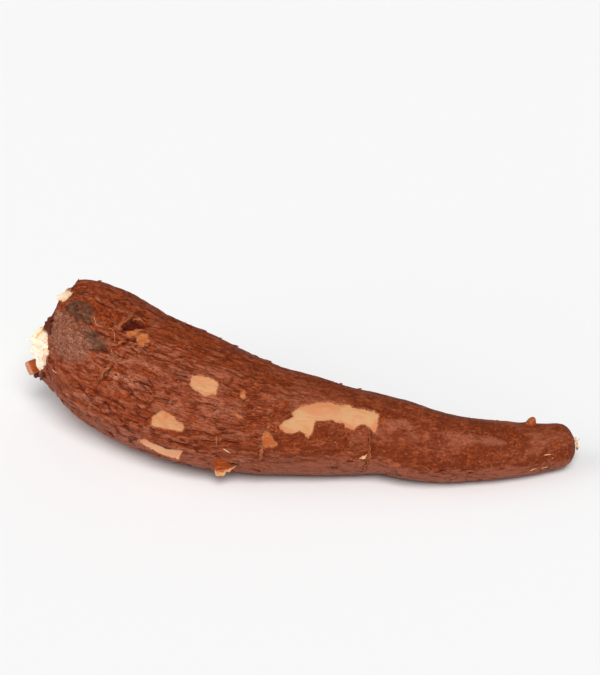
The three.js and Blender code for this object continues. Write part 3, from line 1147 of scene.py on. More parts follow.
def make_fibres(tree, material):
    """Loose hairs that arch off the skin."""
    shapes = []
    for places, thickness in FIBRES:
        count = len(places)
        widths = [0.5 * thickness] + [thickness] * (count - 2) + [0.4 * thickness]
        lifts = [0.1] + [0.8] * (count - 2) + [0.3]
        spec = {
            "places": places, "widths": widths, "lifts": lifts, "twists": [0] * count, "curl": 1,
        }
        shapes.append(strip_shape(tree, spec, thickness, length_steps=16, half_steps=2))
    piece = make_piece("loose_fibres", *joined(shapes), [material])
    face_out(piece.data)
    return piece


# The chip of thick peel that hangs at the low edge of the break.
CHIP_PLACE = (33.6, 366.8)
CHIP_SIZE = (5.6, 6.9, 5.2)
CHIP_TURN = math.radians(60)
CHIP_FORWARD = 3.0
CHIP_TILT = math.radians(22)
CHIP_BLOCK = {"squareness": 7.0, "steps": 12, "rough": 0.30, "offset": 81.0}
# The chip wears bark from this share of its thickness outwards, measured from its middle.
CHIP_BARK_FROM = 0.42
# The dark knob under it.
KNOB_PLACE = (37.4, 375.0)
KNOB_SIZE = (3.0, 2.4, 3.0)
KNOB_FORWARD = 1.6
KNOB_BLOCK = {"squareness": 3.0, "steps": 8, "rough": 0.35, "offset": 85.0}
# The neck of peel between the two and the rim.
NECK_SIZE = (4.8, 3.2, 5.4)
NECK_ASIDE = 1.2
NECK_BACK = 1.8
NECK_TILT = -1.0
NECK_BLOCK = {"squareness": 3.0, "steps": 8, "rough": 0.35, "offset": 88.0}


def tilted_axes(angle):
    """Picture-wise right and up turned by an angle, and the direction to the eye."""
    right = SIDEWAYS * math.cos(angle) + UPWARDS * math.sin(angle)
    up = UPWARDS * math.cos(angle) - SIDEWAYS * math.sin(angle)
    return np.array([right, up, -LOOK])


def make_chip(tree, materials):
    """The chip, the dark knob under it, and the neck of peel that holds them to the rim."""
    chip_centre = on_skin(tree, *CHIP_PLACE)[0] - CHIP_FORWARD * LOOK
    knob_centre = on_skin(tree, *KNOB_PLACE)[0] - KNOB_FORWARD * LOOK
    right, up, near = tilted_axes(CHIP_TILT)
    side = right * math.cos(CHIP_TURN) + near * math.sin(CHIP_TURN)
    axes = np.array([side, up, np.cross(side, up)])
    chip = rounded_block(chip_centre, axes, CHIP_SIZE, **CHIP_BLOCK)
    bark_side = (chip[0] - chip_centre) @ side > CHIP_BARK_FROM * CHIP_SIZE[0]
    knob = rounded_block(knob_centre, axes, KNOB_SIZE, **KNOB_BLOCK)
    neck_centre = 0.5 * (chip_centre + knob_centre) + SIDEWAYS * NECK_ASIDE + LOOK * NECK_BACK
    neck = rounded_block(neck_centre, tilted_axes(NECK_TILT), NECK_SIZE, **NECK_BLOCK)
    piece = make_piece("peel_chip", *joined([chip, knob, neck]), materials)
    cork_slot, dark_slot, bark_slot = range(3)
    kinds = [bark_slot if bark_side[face].all() else cork_slot for face in chip[1]]
    kinds += [dark_slot] * len(knob[1]) + [bark_slot] * len(neck[1])
    piece.data.polygons.foreach_set("material_index", kinds)
    face_out(piece.data)
    return piece


BUD_PLACE = (529.2, 423.0)
BUD_SIZE = (5.4, 4.8, 6.4)
BUD_LEAN = math.radians(28)
BUD_BLOCK = {"squareness": 2.6, "steps": 12, "rough": 0.12, "offset": 91.0}
BUD_NARROWING = 0.45


def make_bud(tree, material):
    """A ridged corky bud on the tip's back, leaning towards the tip."""
    centre, normal = on_skin(tree, *BUD_PLACE)
    along = unit(np.cross(normal, np.cross(SIDEWAYS, normal)))
    across = np.cross(normal, along)
    axes = np.array([along, across, normal])
    points, faces = rounded_block(centre, axes, BUD_SIZE, **BUD_BLOCK)
    local = (points - centre) @ axes.T
    rise = np.clip(local[:, 2] / BUD_SIZE[2] + 0.5, 0, 1)
    ridges = 0.16 * np.sin(local[:, 1] * 7.0 + local[:, 0] * 1.5) * rise
    narrow = 1 - BUD_NARROWING * rise**2
    local[:, 0] = local[:, 0] * narrow + math.tan(BUD_LEAN) * rise * BUD_SIZE[2] * 0.45
    local[:, 1] = local[:, 1] * narrow
    local[:, 2] += ridges
    piece = make_piece("bud", centre + local @ axes, faces, [material])
    face_out(piece.data)
    return piece


# ------------------------------------------------------------------ material building


def paint(red, green, blue):
    """A colour as seen on a screen, 0 to 255, in the units that shaders take."""

    def linear(level):
        share = level / 255
        return share / 12.92 if share <= 0.04045 else ((share + 0.055) / 1.055) ** 2.4

    return (linear(red), linear(green), linear(blue), 1.0)


class Graph:
    """Nodes of a shader or of a geometry tree, with short calls for making them."""

    def __init__(self, tree):
        self.nodes = tree.nodes
        self.links = tree.links

    def feed(self, source, socket):
        if isinstance(source, bpy.types.NodeSocket):
            self.links.new(source, socket)
        else:
            socket.default_value = source

    def calc(self, operation, first, second=0.0):
        node = self.nodes.new("ShaderNodeMath")
        node.operation = operation
        self.feed(first, node.inputs[0])
        self.feed(second, node.inputs[1])
        return node.outputs[0]

    def times(self, first, second):
        return self.calc("MULTIPLY", first, second)

    def plus(self, first, second):
        return self.calc("ADD", first, second)

    def minus(self, first, second):
        return self.calc("SUBTRACT", first, second)


class Recipe(Graph):
    """One material's nodes."""

    def __init__(self, name):
        self.material = bpy.data.materials.new(name)
        self.material.use_nodes = True
        super().__init__(self.material.node_tree)
        self.shader = self.nodes["Principled BSDF"]

    def field(self, name, kind="Fac"):
        node = self.nodes.new("ShaderNodeAttribute")
        node.attribute_name = name
        return node.outputs[kind]

    def object_places(self):
        return self.nodes.new("ShaderNodeTexCoord").outputs["Object"]

    def stretched(self, vector, scale):
        node = self.nodes.new("ShaderNodeMapping")
        self.feed(vector, node.inputs["Vector"])
        node.inputs["Scale"].default_value = scale
        return node.outputs["Vector"]

    def noise(self, vector, detail=4.0, rough=0.6, bend=0.0, scale=1.0):
        node = self.nodes.new("ShaderNodeTexNoise")
        self.feed(vector, node.inputs["Vector"])
        node.inputs["Scale"].default_value = scale
        node.inputs["Detail"].default_value = detail
        node.inputs["Roughness"].default_value = rough
        node.inputs["Distortion"].default_value = bend
        return node.outputs["Fac"]

    def between(self, value, low, high, out_low=0.0, out_high=1.0):
        node = self.nodes.new("ShaderNodeMapRange")
        node.interpolation_type = "SMOOTHSTEP"
        self.feed(value, node.inputs["Value"])
        node.inputs["From Min"].default_value = low
        node.inputs["From Max"].default_value = high
        node.inputs["To Min"].default_value = out_low
        node.inputs["To Max"].default_value = out_high
        return node.outputs["Result"]

    def wobbled(self, vector, scale, amount):
        """Places moved about by a noise."""
        shift = self.nodes.new("ShaderNodeTexNoise")
        self.feed(vector, shift.inputs["Vector"])
        shift.inputs["Scale"].default_value = scale
        shift.inputs["Detail"].default_value = 2.0
        node = self.nodes.new("ShaderNodeVectorMath")
        node.operation = "MULTIPLY_ADD"
        self.feed(shift.outputs["Color"], node.inputs[0])
        node.inputs[1].default_value = (amount, amount, amount)
        self.feed(vector, node.inputs[2])
        return node.outputs[0]

    def plates(self, vector):
        """Uneven cells: the distance to their borders, and a number for each cell."""
        edge = self.nodes.new("ShaderNodeTexVoronoi")
        edge.feature = "DISTANCE_TO_EDGE"
        self.feed(vector, edge.inputs["Vector"])
        edge.inputs["Scale"].default_value = 1.0
        cell = self.nodes.new("ShaderNodeTexVoronoi")
        self.feed(vector, cell.inputs["Vector"])
        cell.inputs["Scale"].default_value = 1.0
        return edge.outputs["Distance"], self.first_of(cell.outputs["Color"])

    def first_of(self, colour):
        node = self.nodes.new("ShaderNodeSeparateColor")
        self.feed(colour, node.inputs["Color"])
        return node.outputs[0]

    def blend(self, share, under, over):
        """A number between two others."""
        node = self.nodes.new("ShaderNodeMix")
        self.feed(share, node.inputs["Factor"])
        self.feed(under, node.inputs[2])
        self.feed(over, node.inputs[3])
        return node.outputs[0]

    def mix(self, share, under, over):
        """A colour between two others."""
        node = self.nodes.new("ShaderNodeMix")
        node.data_type = "RGBA"
        self.feed(share, node.inputs["Factor"])
        self.feed(under, node.inputs[6])
        self.feed(over, node.inputs[7])
        return node.outputs[2]

    def bump(self, height, distance, strength=1.0, under=None):
        node = self.nodes.new("ShaderNodeBump")
        node.inputs["Distance"].default_value = distance
        node.inputs["Strength"].default_value = strength
        self.feed(height, node.inputs["Height"])
        if under is not None:
            self.feed(under, node.inputs["Normal"])
        return node.outputs["Normal"]

    def finish(self, colour, roughness, normal=None, specular=0.2):
        self.feed(colour, self.shader.inputs["Base Color"])
        self.feed(roughness, self.shader.inputs["Roughness"])
        self.shader.inputs["Specular IOR Level"].default_value = specular
        if normal is not None:
            self.feed(normal, self.shader.inputs["Normal"])
        return self.material


RUST = paint(158, 65, 22)
SMOOTH_RUST = paint(115, 46, 12)
FLECK = paint(180, 95, 52)
CREST_HIGHLIGHT = paint(190, 118, 88)
RUST_DEEP = paint(96, 31, 9)
RUST_BRIGHT = paint(186, 88, 37)
# Pale dust, also used as painted highlight, sheen and floor light.
DUST_AND_SHEEN = paint(162, 92, 66)
# Dark of cracks, slits and crevices, also painted into hollows and under flakes as shade.
CRACK_AND_SHADE_DARK = paint(66, 22, 8)
CHARCOAL = paint(58, 44, 32)
CHAR_PALE = paint(94, 72, 52)
MAUVE = paint(128, 78, 57)
DUST_SHADE = paint(108, 66, 44)
VEIN = paint(196, 148, 124)
PEEL_CREAM = paint(200, 150, 104)
PEEL_PINK = paint(198, 126, 84)
PEEL_LOW_LIT = paint(246, 182, 138)
CURL_CREAM = paint(208, 158, 114)
CURL_ORANGE = paint(176, 84, 28)
PEEL_RED = paint(200, 108, 66)
PEEL_ORANGE = paint(180, 92, 46)
PEEL_TOFFEE = paint(196, 120, 66)
HOLLOW_ORANGE = paint(204, 92, 30)
HOLLOW_SHADE = paint(82, 20, 4)
FLESH = paint(254, 244, 226)
FLESH_CREAM = paint(242, 222, 188)
FLESH_TAN = paint(232, 182, 128)
FLESH_ORANGE = paint(216, 146, 78)
DRY_EDGE = paint(216, 146, 92)
FLAP_BROWN = paint(142, 64, 29)
FIBRE_TAN = paint(206, 150, 118)
SLIVER_CREAM = paint(226, 190, 156)
SHARD_DARK = paint(76, 28, 18)
CHIP_TAN = paint(206, 146, 112)
CHIP_DEEP = paint(186, 118, 84)
BUD_BROWN = paint(134, 58, 24)


def line_near(recipe, value, width):
    """1 where a noise passes its middle value: thin wandering lines."""
    from_middle = recipe.calc("ABSOLUTE", recipe.minus(value, 0.5))
    return recipe.between(from_middle, 0.0, width, 1, 0)


# The noises that the bark is painted and roughened with: their scale along the grain and across
# it, per millimetre, and their detail, roughness and bend.
BARK_NOISES = {
    "fibre": ((0.16, 0.62, 0.62), 9, 0.74, 0.5),
    "fleck": ((0.80, 1.00, 1.00), 6, 0.72, 0.3),
    "mottle": ((0.035, 0.08, 0.08), 5, 0.62, 0.6),
    "patchy": ((0.13, 0.26, 0.26), 6, 0.65, 0.5),
    "grit": ((0.9, 1.4, 1.4), 4, 0.65, 0.0),
    "speck": ((0.55, 0.85, 0.85), 2, 0.5, 0.0),
    "blot": ((0.12, 0.24, 0.24), 4, 0.6, 0.9),
    "wander": ((0.15, 0.60, 0.60), 3, 0.6, 1.1),
    "slit": ((0.26, 0.60, 0.60), 3, 0.6, 0.0),
}
PLATE_SCALE = (0.14, 0.50, 0.50)


def bark_noises(recipe, grain):
    """The bark's noises, and its uneven plates with the seams between them."""
    noises = {
        name: recipe.noise(recipe.stretched(grain, scale), detail, rough, bend)
        for name, (scale, detail, rough, bend) in BARK_NOISES.items()
    }
    wobbled = recipe.wobbled(recipe.stretched(grain, PLATE_SCALE), 1.4, 0.8)
    noises["seam"], noises["plate"] = recipe.plates(wobbled)
    return noises


def dust_and_bounce_on_flank(recipe, coarse, noises):
    """Pale dust on the low flank, and painted light bounced up from the floor, most of all where
    the bark is smooth.
    """
    dust = recipe.between(coarse, 0.2, 1.0, 0.62, 0.46)
    broken = recipe.blend(0.5, noises["patchy"], noises["fleck"])
    dust = recipe.times(dust, recipe.between(broken, 0.42, 0.58, 0.55, 1.30))
    drift = recipe.between(noises["fibre"], 0.36, 0.64, -0.36, 0.40)
    drift = recipe.plus(recipe.field("low"), drift)
    return recipe.times(recipe.between(drift, 0.0, 1.0), dust)


def bark_dust_and_sheen(recipe, coarse, noises):
    """How much pale dust and painted highlight lie on the bark: on its ridges, low flank, lit brow
    and sheens.
    """
    # Paler on the ridges: partly dust, partly painted highlight.
    paled = recipe.times(recipe.times(recipe.field("hollow"), coarse), -1.7)
    dust_and_sheen_share = recipe.plus(noises["mottle"], paled)
    dust_and_sheen_share = recipe.plus(dust_and_sheen_share, dust_and_bounce_on_flank(recipe, coarse, noises))
    # Painted highlight: bark that faces the front light is painted paler.
    lit_brow_paling = recipe.between(recipe.field("lit_brow"), 0, 1, -0.035, 0.165)
    dust_and_sheen_share = recipe.plus(dust_and_sheen_share, recipe.times(lit_brow_paling, coarse))
    # Painted highlight: the sheens, broken up by noise.
    glossy = recipe.blend(0.5, noises["patchy"], noises["fleck"])
    glossy = recipe.between(glossy, 0.40, 0.58, 0.03, 0.28)
    dust_and_sheen_share = recipe.plus(dust_and_sheen_share, recipe.times(recipe.field("sheen"), glossy))
    return recipe.between(dust_and_sheen_share, 0.47, 0.85, 0, 0.81)


def bark_tones(recipe, coarse, smooth, grainy, noises):
    """The browns of clean bark: deep in its plates, grain, blots and flecks, bright in random
    patches, and painted brighter on ridges as a highlight.
    """
    skin = recipe.mix(coarse, SMOOTH_RUST, RUST)
    tone = recipe.times(recipe.between(noises["plate"], 0.0, 0.45, 0.28, 0), coarse)
    skin = recipe.mix(tone, skin, RUST_DEEP)
    skin = recipe.mix(recipe.between(grainy, 0.61, 0.36, 0, 0.60), skin, RUST_DEEP)
    blotted = recipe.times(recipe.between(noises["blot"], 0.51, 0.63, 0, 0.68), coarse)
    skin = recipe.mix(blotted, skin, RUST_DEEP)
    flecked = recipe.times(recipe.between(noises["fleck"], 0.54, 0.42, 0, 0.6), smooth)
    skin = recipe.mix(flecked, skin, RUST_DEEP)
    varied = recipe.between(coarse, 0.2, 1.0, 0.45, 1.0)
    varied = recipe.blend(varied, noises["fleck"], noises["patchy"])
    # Painted highlight: ridges, where the bark stands over its surroundings, are painted brighter.
    ridge = recipe.times(recipe.field("hollow"), -0.8)
    bright = recipe.between(recipe.plus(varied, ridge), 0.46, 0.72, 0, 0.66)
    return recipe.mix(bright, skin, RUST_BRIGHT)


def bark_cracks(recipe, coarse, noises):
    """Hair cracks in the coarse bark: the seams of its plates, and thin wandering lines."""
    broken = recipe.between(noises["patchy"], 0.36, 0.58)
    seams = recipe.times(recipe.between(noises["seam"], 0.0, 0.06, 1, 0), broken)
    cracks = recipe.calc("MAXIMUM", seams, line_near(recipe, noises["wander"], 0.024))
    return recipe.times(cracks, coarse)


def bark_slits(recipe, smooth, noises):
    """Short slits in the low flank of the smooth bark."""
    slits = recipe.times(recipe.between(noises["slit"], 0.54, 0.59), smooth)
    return recipe.times(slits, recipe.field("low"))


def bark_skin(recipe, noises):
    """Clean bark's colour and its fine height, from coarse stem to smooth tip."""
    coarse = recipe.field("coarse")
    smooth = recipe.minus(1.0, coarse)
    hollow = recipe.field("hollow")
    grainy = recipe.blend(coarse, noises["fleck"], noises["fibre"])
    calm = recipe.between(noises["mottle"], 0.44, 0.62, 0, 0.75)
    grainy = recipe.blend(calm, grainy, 0.52)
    cracks = bark_cracks(recipe, coarse, noises)
    slits = bark_slits(recipe, smooth, noises)
    skin = bark_tones(recipe, coarse, smooth, grainy, noises)
    # Pale dust mixed with painted highlights and painted floor light.
    skin = recipe.mix(bark_dust_and_sheen(recipe, coarse, noises), skin, DUST_AND_SHEEN)
    skin = recipe.mix(recipe.between(noises["grit"], 0.54, 0.70, 0, 0.36), skin, RUST_DEEP)
    skin = recipe.mix(recipe.between(noises["speck"], 0.62, 0.71, 0, 0.62), skin, FLECK)
    skin = recipe.mix(recipe.times(slits, 0.85), skin, CRACK_AND_SHADE_DARK)
    skin = recipe.mix(recipe.times(cracks, 0.46), skin, CRACK_AND_SHADE_DARK)
    # Painted shade: the bark is darker where it lies below its softened surroundings.
    skin = recipe.mix(recipe.between(hollow, 0.08, 0.42, 0, 0.85), skin, CRACK_AND_SHADE_DARK)
    cuts = recipe.calc("MAXIMUM", cracks, slits)
    return skin, recipe.minus(grainy, recipe.times(cuts, 0.6))


def mauve_patch(recipe, skin, grain, grit):
    """The dusty mauve patch by the stem, with its web of pale veins."""
    dusty = recipe.field("dusty")
    veins = recipe.noise(recipe.stretched(grain, (0.20, 0.28, 0.28)), 4, 0.65, 1.6)
    mottled = recipe.noise(recipe.stretched(grain, (0.22, 0.34, 0.34)), 5, 0.7, 0.8)
    mauve = recipe.mix(recipe.between(grit, 0.42, 0.64, 0, 0.6), MAUVE, RUST)
    mauve = recipe.mix(recipe.between(mottled, 0.48, 0.60, 0, 0.75), mauve, DUST_SHADE)
    skin = recipe.mix(recipe.times(dusty, 0.76), skin, mauve)
    veined = recipe.times(line_near(recipe, veins, 0.035), dusty)
    return recipe.mix(recipe.times(veined, 0.68), skin, VEIN)


def charcoal_patch(recipe, skin, grain, grit):
    """The charcoal patch beside it, flecked with paler ash."""
    char = recipe.times(recipe.field("scorch"), recipe.between(grit, 0.34, 0.66, 1, 0.45))
    ashy = recipe.noise(recipe.stretched(grain, (0.35, 0.60, 0.60)), 4, 0.7, 0.6)
    burnt = recipe.mix(recipe.between(ashy, 0.42, 0.60), CHARCOAL, CHAR_PALE)
    return recipe.mix(recipe.times(char, 0.95), skin, burnt)


def scuffs_and_crevices(recipe, skin, fibre, grit):
    """Pale scuffs, painted highlights on the crests, and the dark inside of the crevices."""
    scuff = recipe.times(recipe.field("scuff"), recipe.between(fibre, 0.42, 0.60))
    skin = recipe.mix(recipe.times(scuff, 0.75), skin, VEIN)
    # Painted highlight on the crests of the folds.
    paled = recipe.times(recipe.field("crest"), recipe.between(grit, 0.38, 0.60))
    skin = recipe.mix(recipe.times(paled, 0.75), skin, CREST_HIGHLIGHT)
    beside = recipe.calc("ABSOLUTE", recipe.field("beside"))
    beside = recipe.plus(beside, recipe.between(fibre, 0.3, 0.7, -0.15, 0.35))
    inside = recipe.times(recipe.between(beside, 0.12, 0.60, 1, 0), recipe.field("crevice"))
    return recipe.mix(recipe.times(inside, 0.88), skin, CRACK_AND_SHADE_DARK)


def hollows_and_ring(recipe, skin, fibre):
    """The two hollows with their painted shade, the ring crack darkened with the painted shadow of
    its flakes, the fine lines and the corky spots.
    """
    # Painted shade in the hollow under the lifted flap.
    skin = recipe.mix(recipe.times(recipe.field("lifted"), 0.95), skin, HOLLOW_SHADE)
    # Painted shade towards the deep end of the lower hollow.
    shade = recipe.plus(recipe.field("lower_hollow_shade"), recipe.between(fibre, 0.3, 0.6, 0.2, 0))
    lower = recipe.mix(shade, HOLLOW_ORANGE, CRACK_AND_SHADE_DARK)
    skin = recipe.mix(recipe.field("lower"), skin, lower)
    # The ring crack darkened, partly as the painted shadow of its flakes.
    ring = recipe.plus(recipe.field("ring"), recipe.between(fibre, 0.3, 0.7, -0.4, 0.4))
    skin = recipe.mix(recipe.between(ring, 0.2, 1.1, 0.8, 0), skin, CRACK_AND_SHADE_DARK)
    line = recipe.between(recipe.field("line"), 0.1, 0.55, 0.45, 0)
    skin = recipe.mix(line, skin, PEEL_ORANGE)
    return recipe.mix(recipe.times(recipe.field("spot"), 0.9), skin, PEEL_ORANGE)


def inner_peel(recipe, grain, mottle, patchy):
    """Bare inner peel: cream, blushing pink, orange towards its torn edges, and painted paler on
    the low flank as light.
    """
    bare = recipe.field("bare")
    peel = recipe.mix(recipe.between(mottle, 0.46, 0.64), PEEL_CREAM, PEEL_PINK)
    peel = recipe.mix(recipe.between(bare, -1.3, -0.1, 0, 0.55), peel, PEEL_PINK)
    blush = recipe.times(recipe.field("blush"), recipe.between(mottle, 0.3, 0.6, 0.5, 1))
    peel = recipe.mix(recipe.times(blush, 0.72), peel, PEEL_RED)
    threads = recipe.noise(recipe.stretched(grain, (0.1, 0.9, 0.9)), 5, 0.6)
    peel = recipe.mix(recipe.between(threads, 0.46, 0.66, 0, 0.55), peel, PEEL_PINK)
    # Painted light: the peel on the low flank is painted paler, as if lit more strongly there.
    peel = recipe.mix(recipe.times(recipe.field("low"), 0.8), peel, PEEL_LOW_LIT)
    scraped = recipe.mix(recipe.between(patchy, 0.44, 0.60), PEEL_ORANGE, PEEL_TOFFEE)
    return recipe.mix(recipe.field("orange"), peel, scraped)


def rim_flesh(recipe, torn, noises):
    """Flesh where the rim is torn: white and cream, tan and orange towards the bark."""
    flesh = recipe.mix(recipe.between(noises["patchy"], 0.5, 0.62, 0, 0.4), FLESH, FLESH_CREAM)
    crumbs = recipe.times(recipe.minus(noises["patchy"], 0.5), 9.0)
    flesh = recipe.mix(recipe.between(recipe.plus(torn, crumbs), -1.4, 0.3), flesh, FLESH_TAN)
    spread = recipe.times(recipe.between(noises["fleck"], 0.52, 0.60), 0.7)
    spread = recipe.times(spread, recipe.between(torn, -4.0, -1.0))
    return recipe.mix(spread, flesh, FLESH_ORANGE)


def bark_material():
    """Bark with all its marks, the inner peel where it is bare, and flesh at the torn rim."""
    recipe = Recipe("bark")
    grain = recipe.field("grain", "Vector")
    noises = bark_noises(recipe, grain)
    fibre = noises["fibre"]
    grit = noises["grit"]
    skin, height = bark_skin(recipe, noises)
    skin = mauve_patch(recipe, skin, grain, grit)
    skin = charcoal_patch(recipe, skin, grain, grit)
    skin = scuffs_and_crevices(recipe, skin, fibre, grit)
    skin = hollows_and_ring(recipe, skin, fibre)
    peel = inner_peel(recipe, grain, noises["mottle"], noises["patchy"])

    fray = recipe.noise(recipe.stretched(grain, (0.8, 1.2, 1.2)), 4, 0.65)
    fray = recipe.times(recipe.minus(fray, 0.5), 1.8)
    edge = recipe.plus(recipe.field("bare"), fray)
    bare = recipe.between(edge, -0.07, 0.07, 1, 0)
    lip = recipe.calc("ABSOLUTE", recipe.minus(edge, 0.20))
    skin = recipe.mix(recipe.between(lip, 0.0, 0.20, 0.50, 0), skin, DRY_EDGE)
    colour = recipe.mix(bare, skin, peel)
    torn = recipe.plus(recipe.field("torn"), recipe.times(fray, 2.0))
    gone = recipe.between(torn, -0.08, 0.08, 1, 0)
    colour = recipe.mix(gone, colour, rim_flesh(recipe, torn, noises))

    rough = recipe.between(fibre, 0.3, 0.7, 0.44, 0.68)
    rough = recipe.minus(rough, recipe.times(bare, 0.06))
    calm = recipe.between(bare, 0, 1, 1.0, 0.2)
    fine = recipe.bump(recipe.times(height, calm), 0.0006)
    normal = recipe.bump(recipe.times(grit, calm), 0.00025, 0.9, under=fine)
    return recipe.finish(colour, rough, normal, specular=0.13)


# Painted light: the flesh glows a little, so that it comes out as bright as strongly lit flesh.
FLESH_PAINTED_GLOW = 0.06


def flesh_material():
    """Torn pale flesh, with a tan ring of peel under the bark, a woody cord in the middle and a
    faint painted glow.
    """
    recipe = Recipe("torn_flesh")
    places = recipe.object_places()
    crumb = recipe.noise(places, 6, 0.65, scale=420)
    stain = recipe.noise(places, 3, 0.5, scale=90)
    share = recipe.plus(recipe.field("share"), recipe.times(stain, 0.05))
    outer = recipe.between(recipe.field("share"), 0.90, 1.0)
    colour = recipe.mix(recipe.between(stain, 0.44, 0.66, 0, 0.7), FLESH, FLESH_CREAM)
    colour = recipe.mix(recipe.between(crumb, 0.55, 0.7, 0, 0.35), colour, FLESH_TAN)
    rays = recipe.noise(recipe.field("ray", "Vector"), 4, 0.6)
    colour = recipe.mix(recipe.between(rays, 0.50, 0.66, 0, 0.45), colour, FLESH_CREAM)
    covered = recipe.between(recipe.field("torn"), -0.5, 0.5, 0.08, 1)
    ring = recipe.times(recipe.between(share, 0.93, 1.0, 0, 0.80), covered)
    colour = recipe.mix(ring, colour, FLESH_TAN)
    edge = recipe.times(recipe.between(share, 1.005, 1.02), covered)
    colour = recipe.mix(edge, colour, RUST)
    specks = recipe.times(recipe.between(crumb, 0.51, 0.58), 0.85)
    specks = recipe.times(specks, recipe.between(share, 0.80, 0.97))
    by_bark = recipe.between(recipe.field("torn"), -6.0, -1.2, 0.1, 1)
    specks = recipe.times(specks, by_bark)
    patchy = recipe.plus(recipe.field("torn"), recipe.between(stain, 0.35, 0.65, -1.2, 1.2))
    tanned = recipe.times(recipe.between(patchy, -3.6, -0.4, 0, 0.85), outer)
    colour = recipe.mix(tanned, colour, FLESH_TAN)
    colour = recipe.mix(specks, colour, FLESH_ORANGE)
    colour = recipe.mix(recipe.between(share, 0.05, 0.09, 0.8, 0), colour, FLESH_TAN)
    crumbled = recipe.bump(crumb, 0.0008, 0.9)
    normal = recipe.bump(rays, 0.0006, 0.8, under=crumbled)
    # A painted glow, though the flesh is no lamp.
    recipe.shader.inputs["Emission Color"].default_value = FLESH
    recipe.shader.inputs["Emission Strength"].default_value = FLESH_PAINTED_GLOW
    return recipe.finish(colour, 0.70, normal, specular=0.25)


def dry_peel_material(name, pale, deep, paled=0.0):
    """A dry flake or curl of peel, streaked with two colours. Its last argument makes its edges
    pale.
    """
    recipe = Recipe(name)
    places = recipe.object_places()
    fibre = recipe.noise(recipe.stretched(places, (700, 1100, 1100)), 5, 0.65)
    blotch = recipe.noise(places, 4, 0.6, scale=420)
    share = recipe.between(fibre, 0.36, 0.62)
    if paled:
        frayed = recipe.plus(recipe.field("edge"), recipe.between(fibre, 0.3, 0.7, -0.3, 0.3))
        edge = recipe.between(frayed, 0.70, 1.10, 0, paled)
        share = recipe.calc("MAXIMUM", recipe.times(share, 1 - paled), edge)
    colour = recipe.mix(share, deep, pale)
    colour = recipe.mix(recipe.between(blotch, 0.52, 0.72, 0, 0.5), colour, deep)
    normal = recipe.bump(fibre, 0.0003, 0.8)
    return recipe.finish(colour, 0.62, normal, specular=0.2)


def scattered_material(name, pale, deep):
    """Small repeated things, each with a tone of its own."""
    recipe = Recipe(name)
    grit = recipe.noise(recipe.object_places(), 4, 0.6, scale=900)
    tone = recipe.plus(recipe.field("tone"), recipe.times(grit, 0.5))
    colour = recipe.mix(recipe.between(tone, 0.2, 1.3), deep, pale)
    normal = recipe.bump(grit, 0.0002, 0.8)
    return recipe.finish(colour, 0.66, normal, specular=0.15)


# ------------------------------------------------------------------ small things strewn on the skin


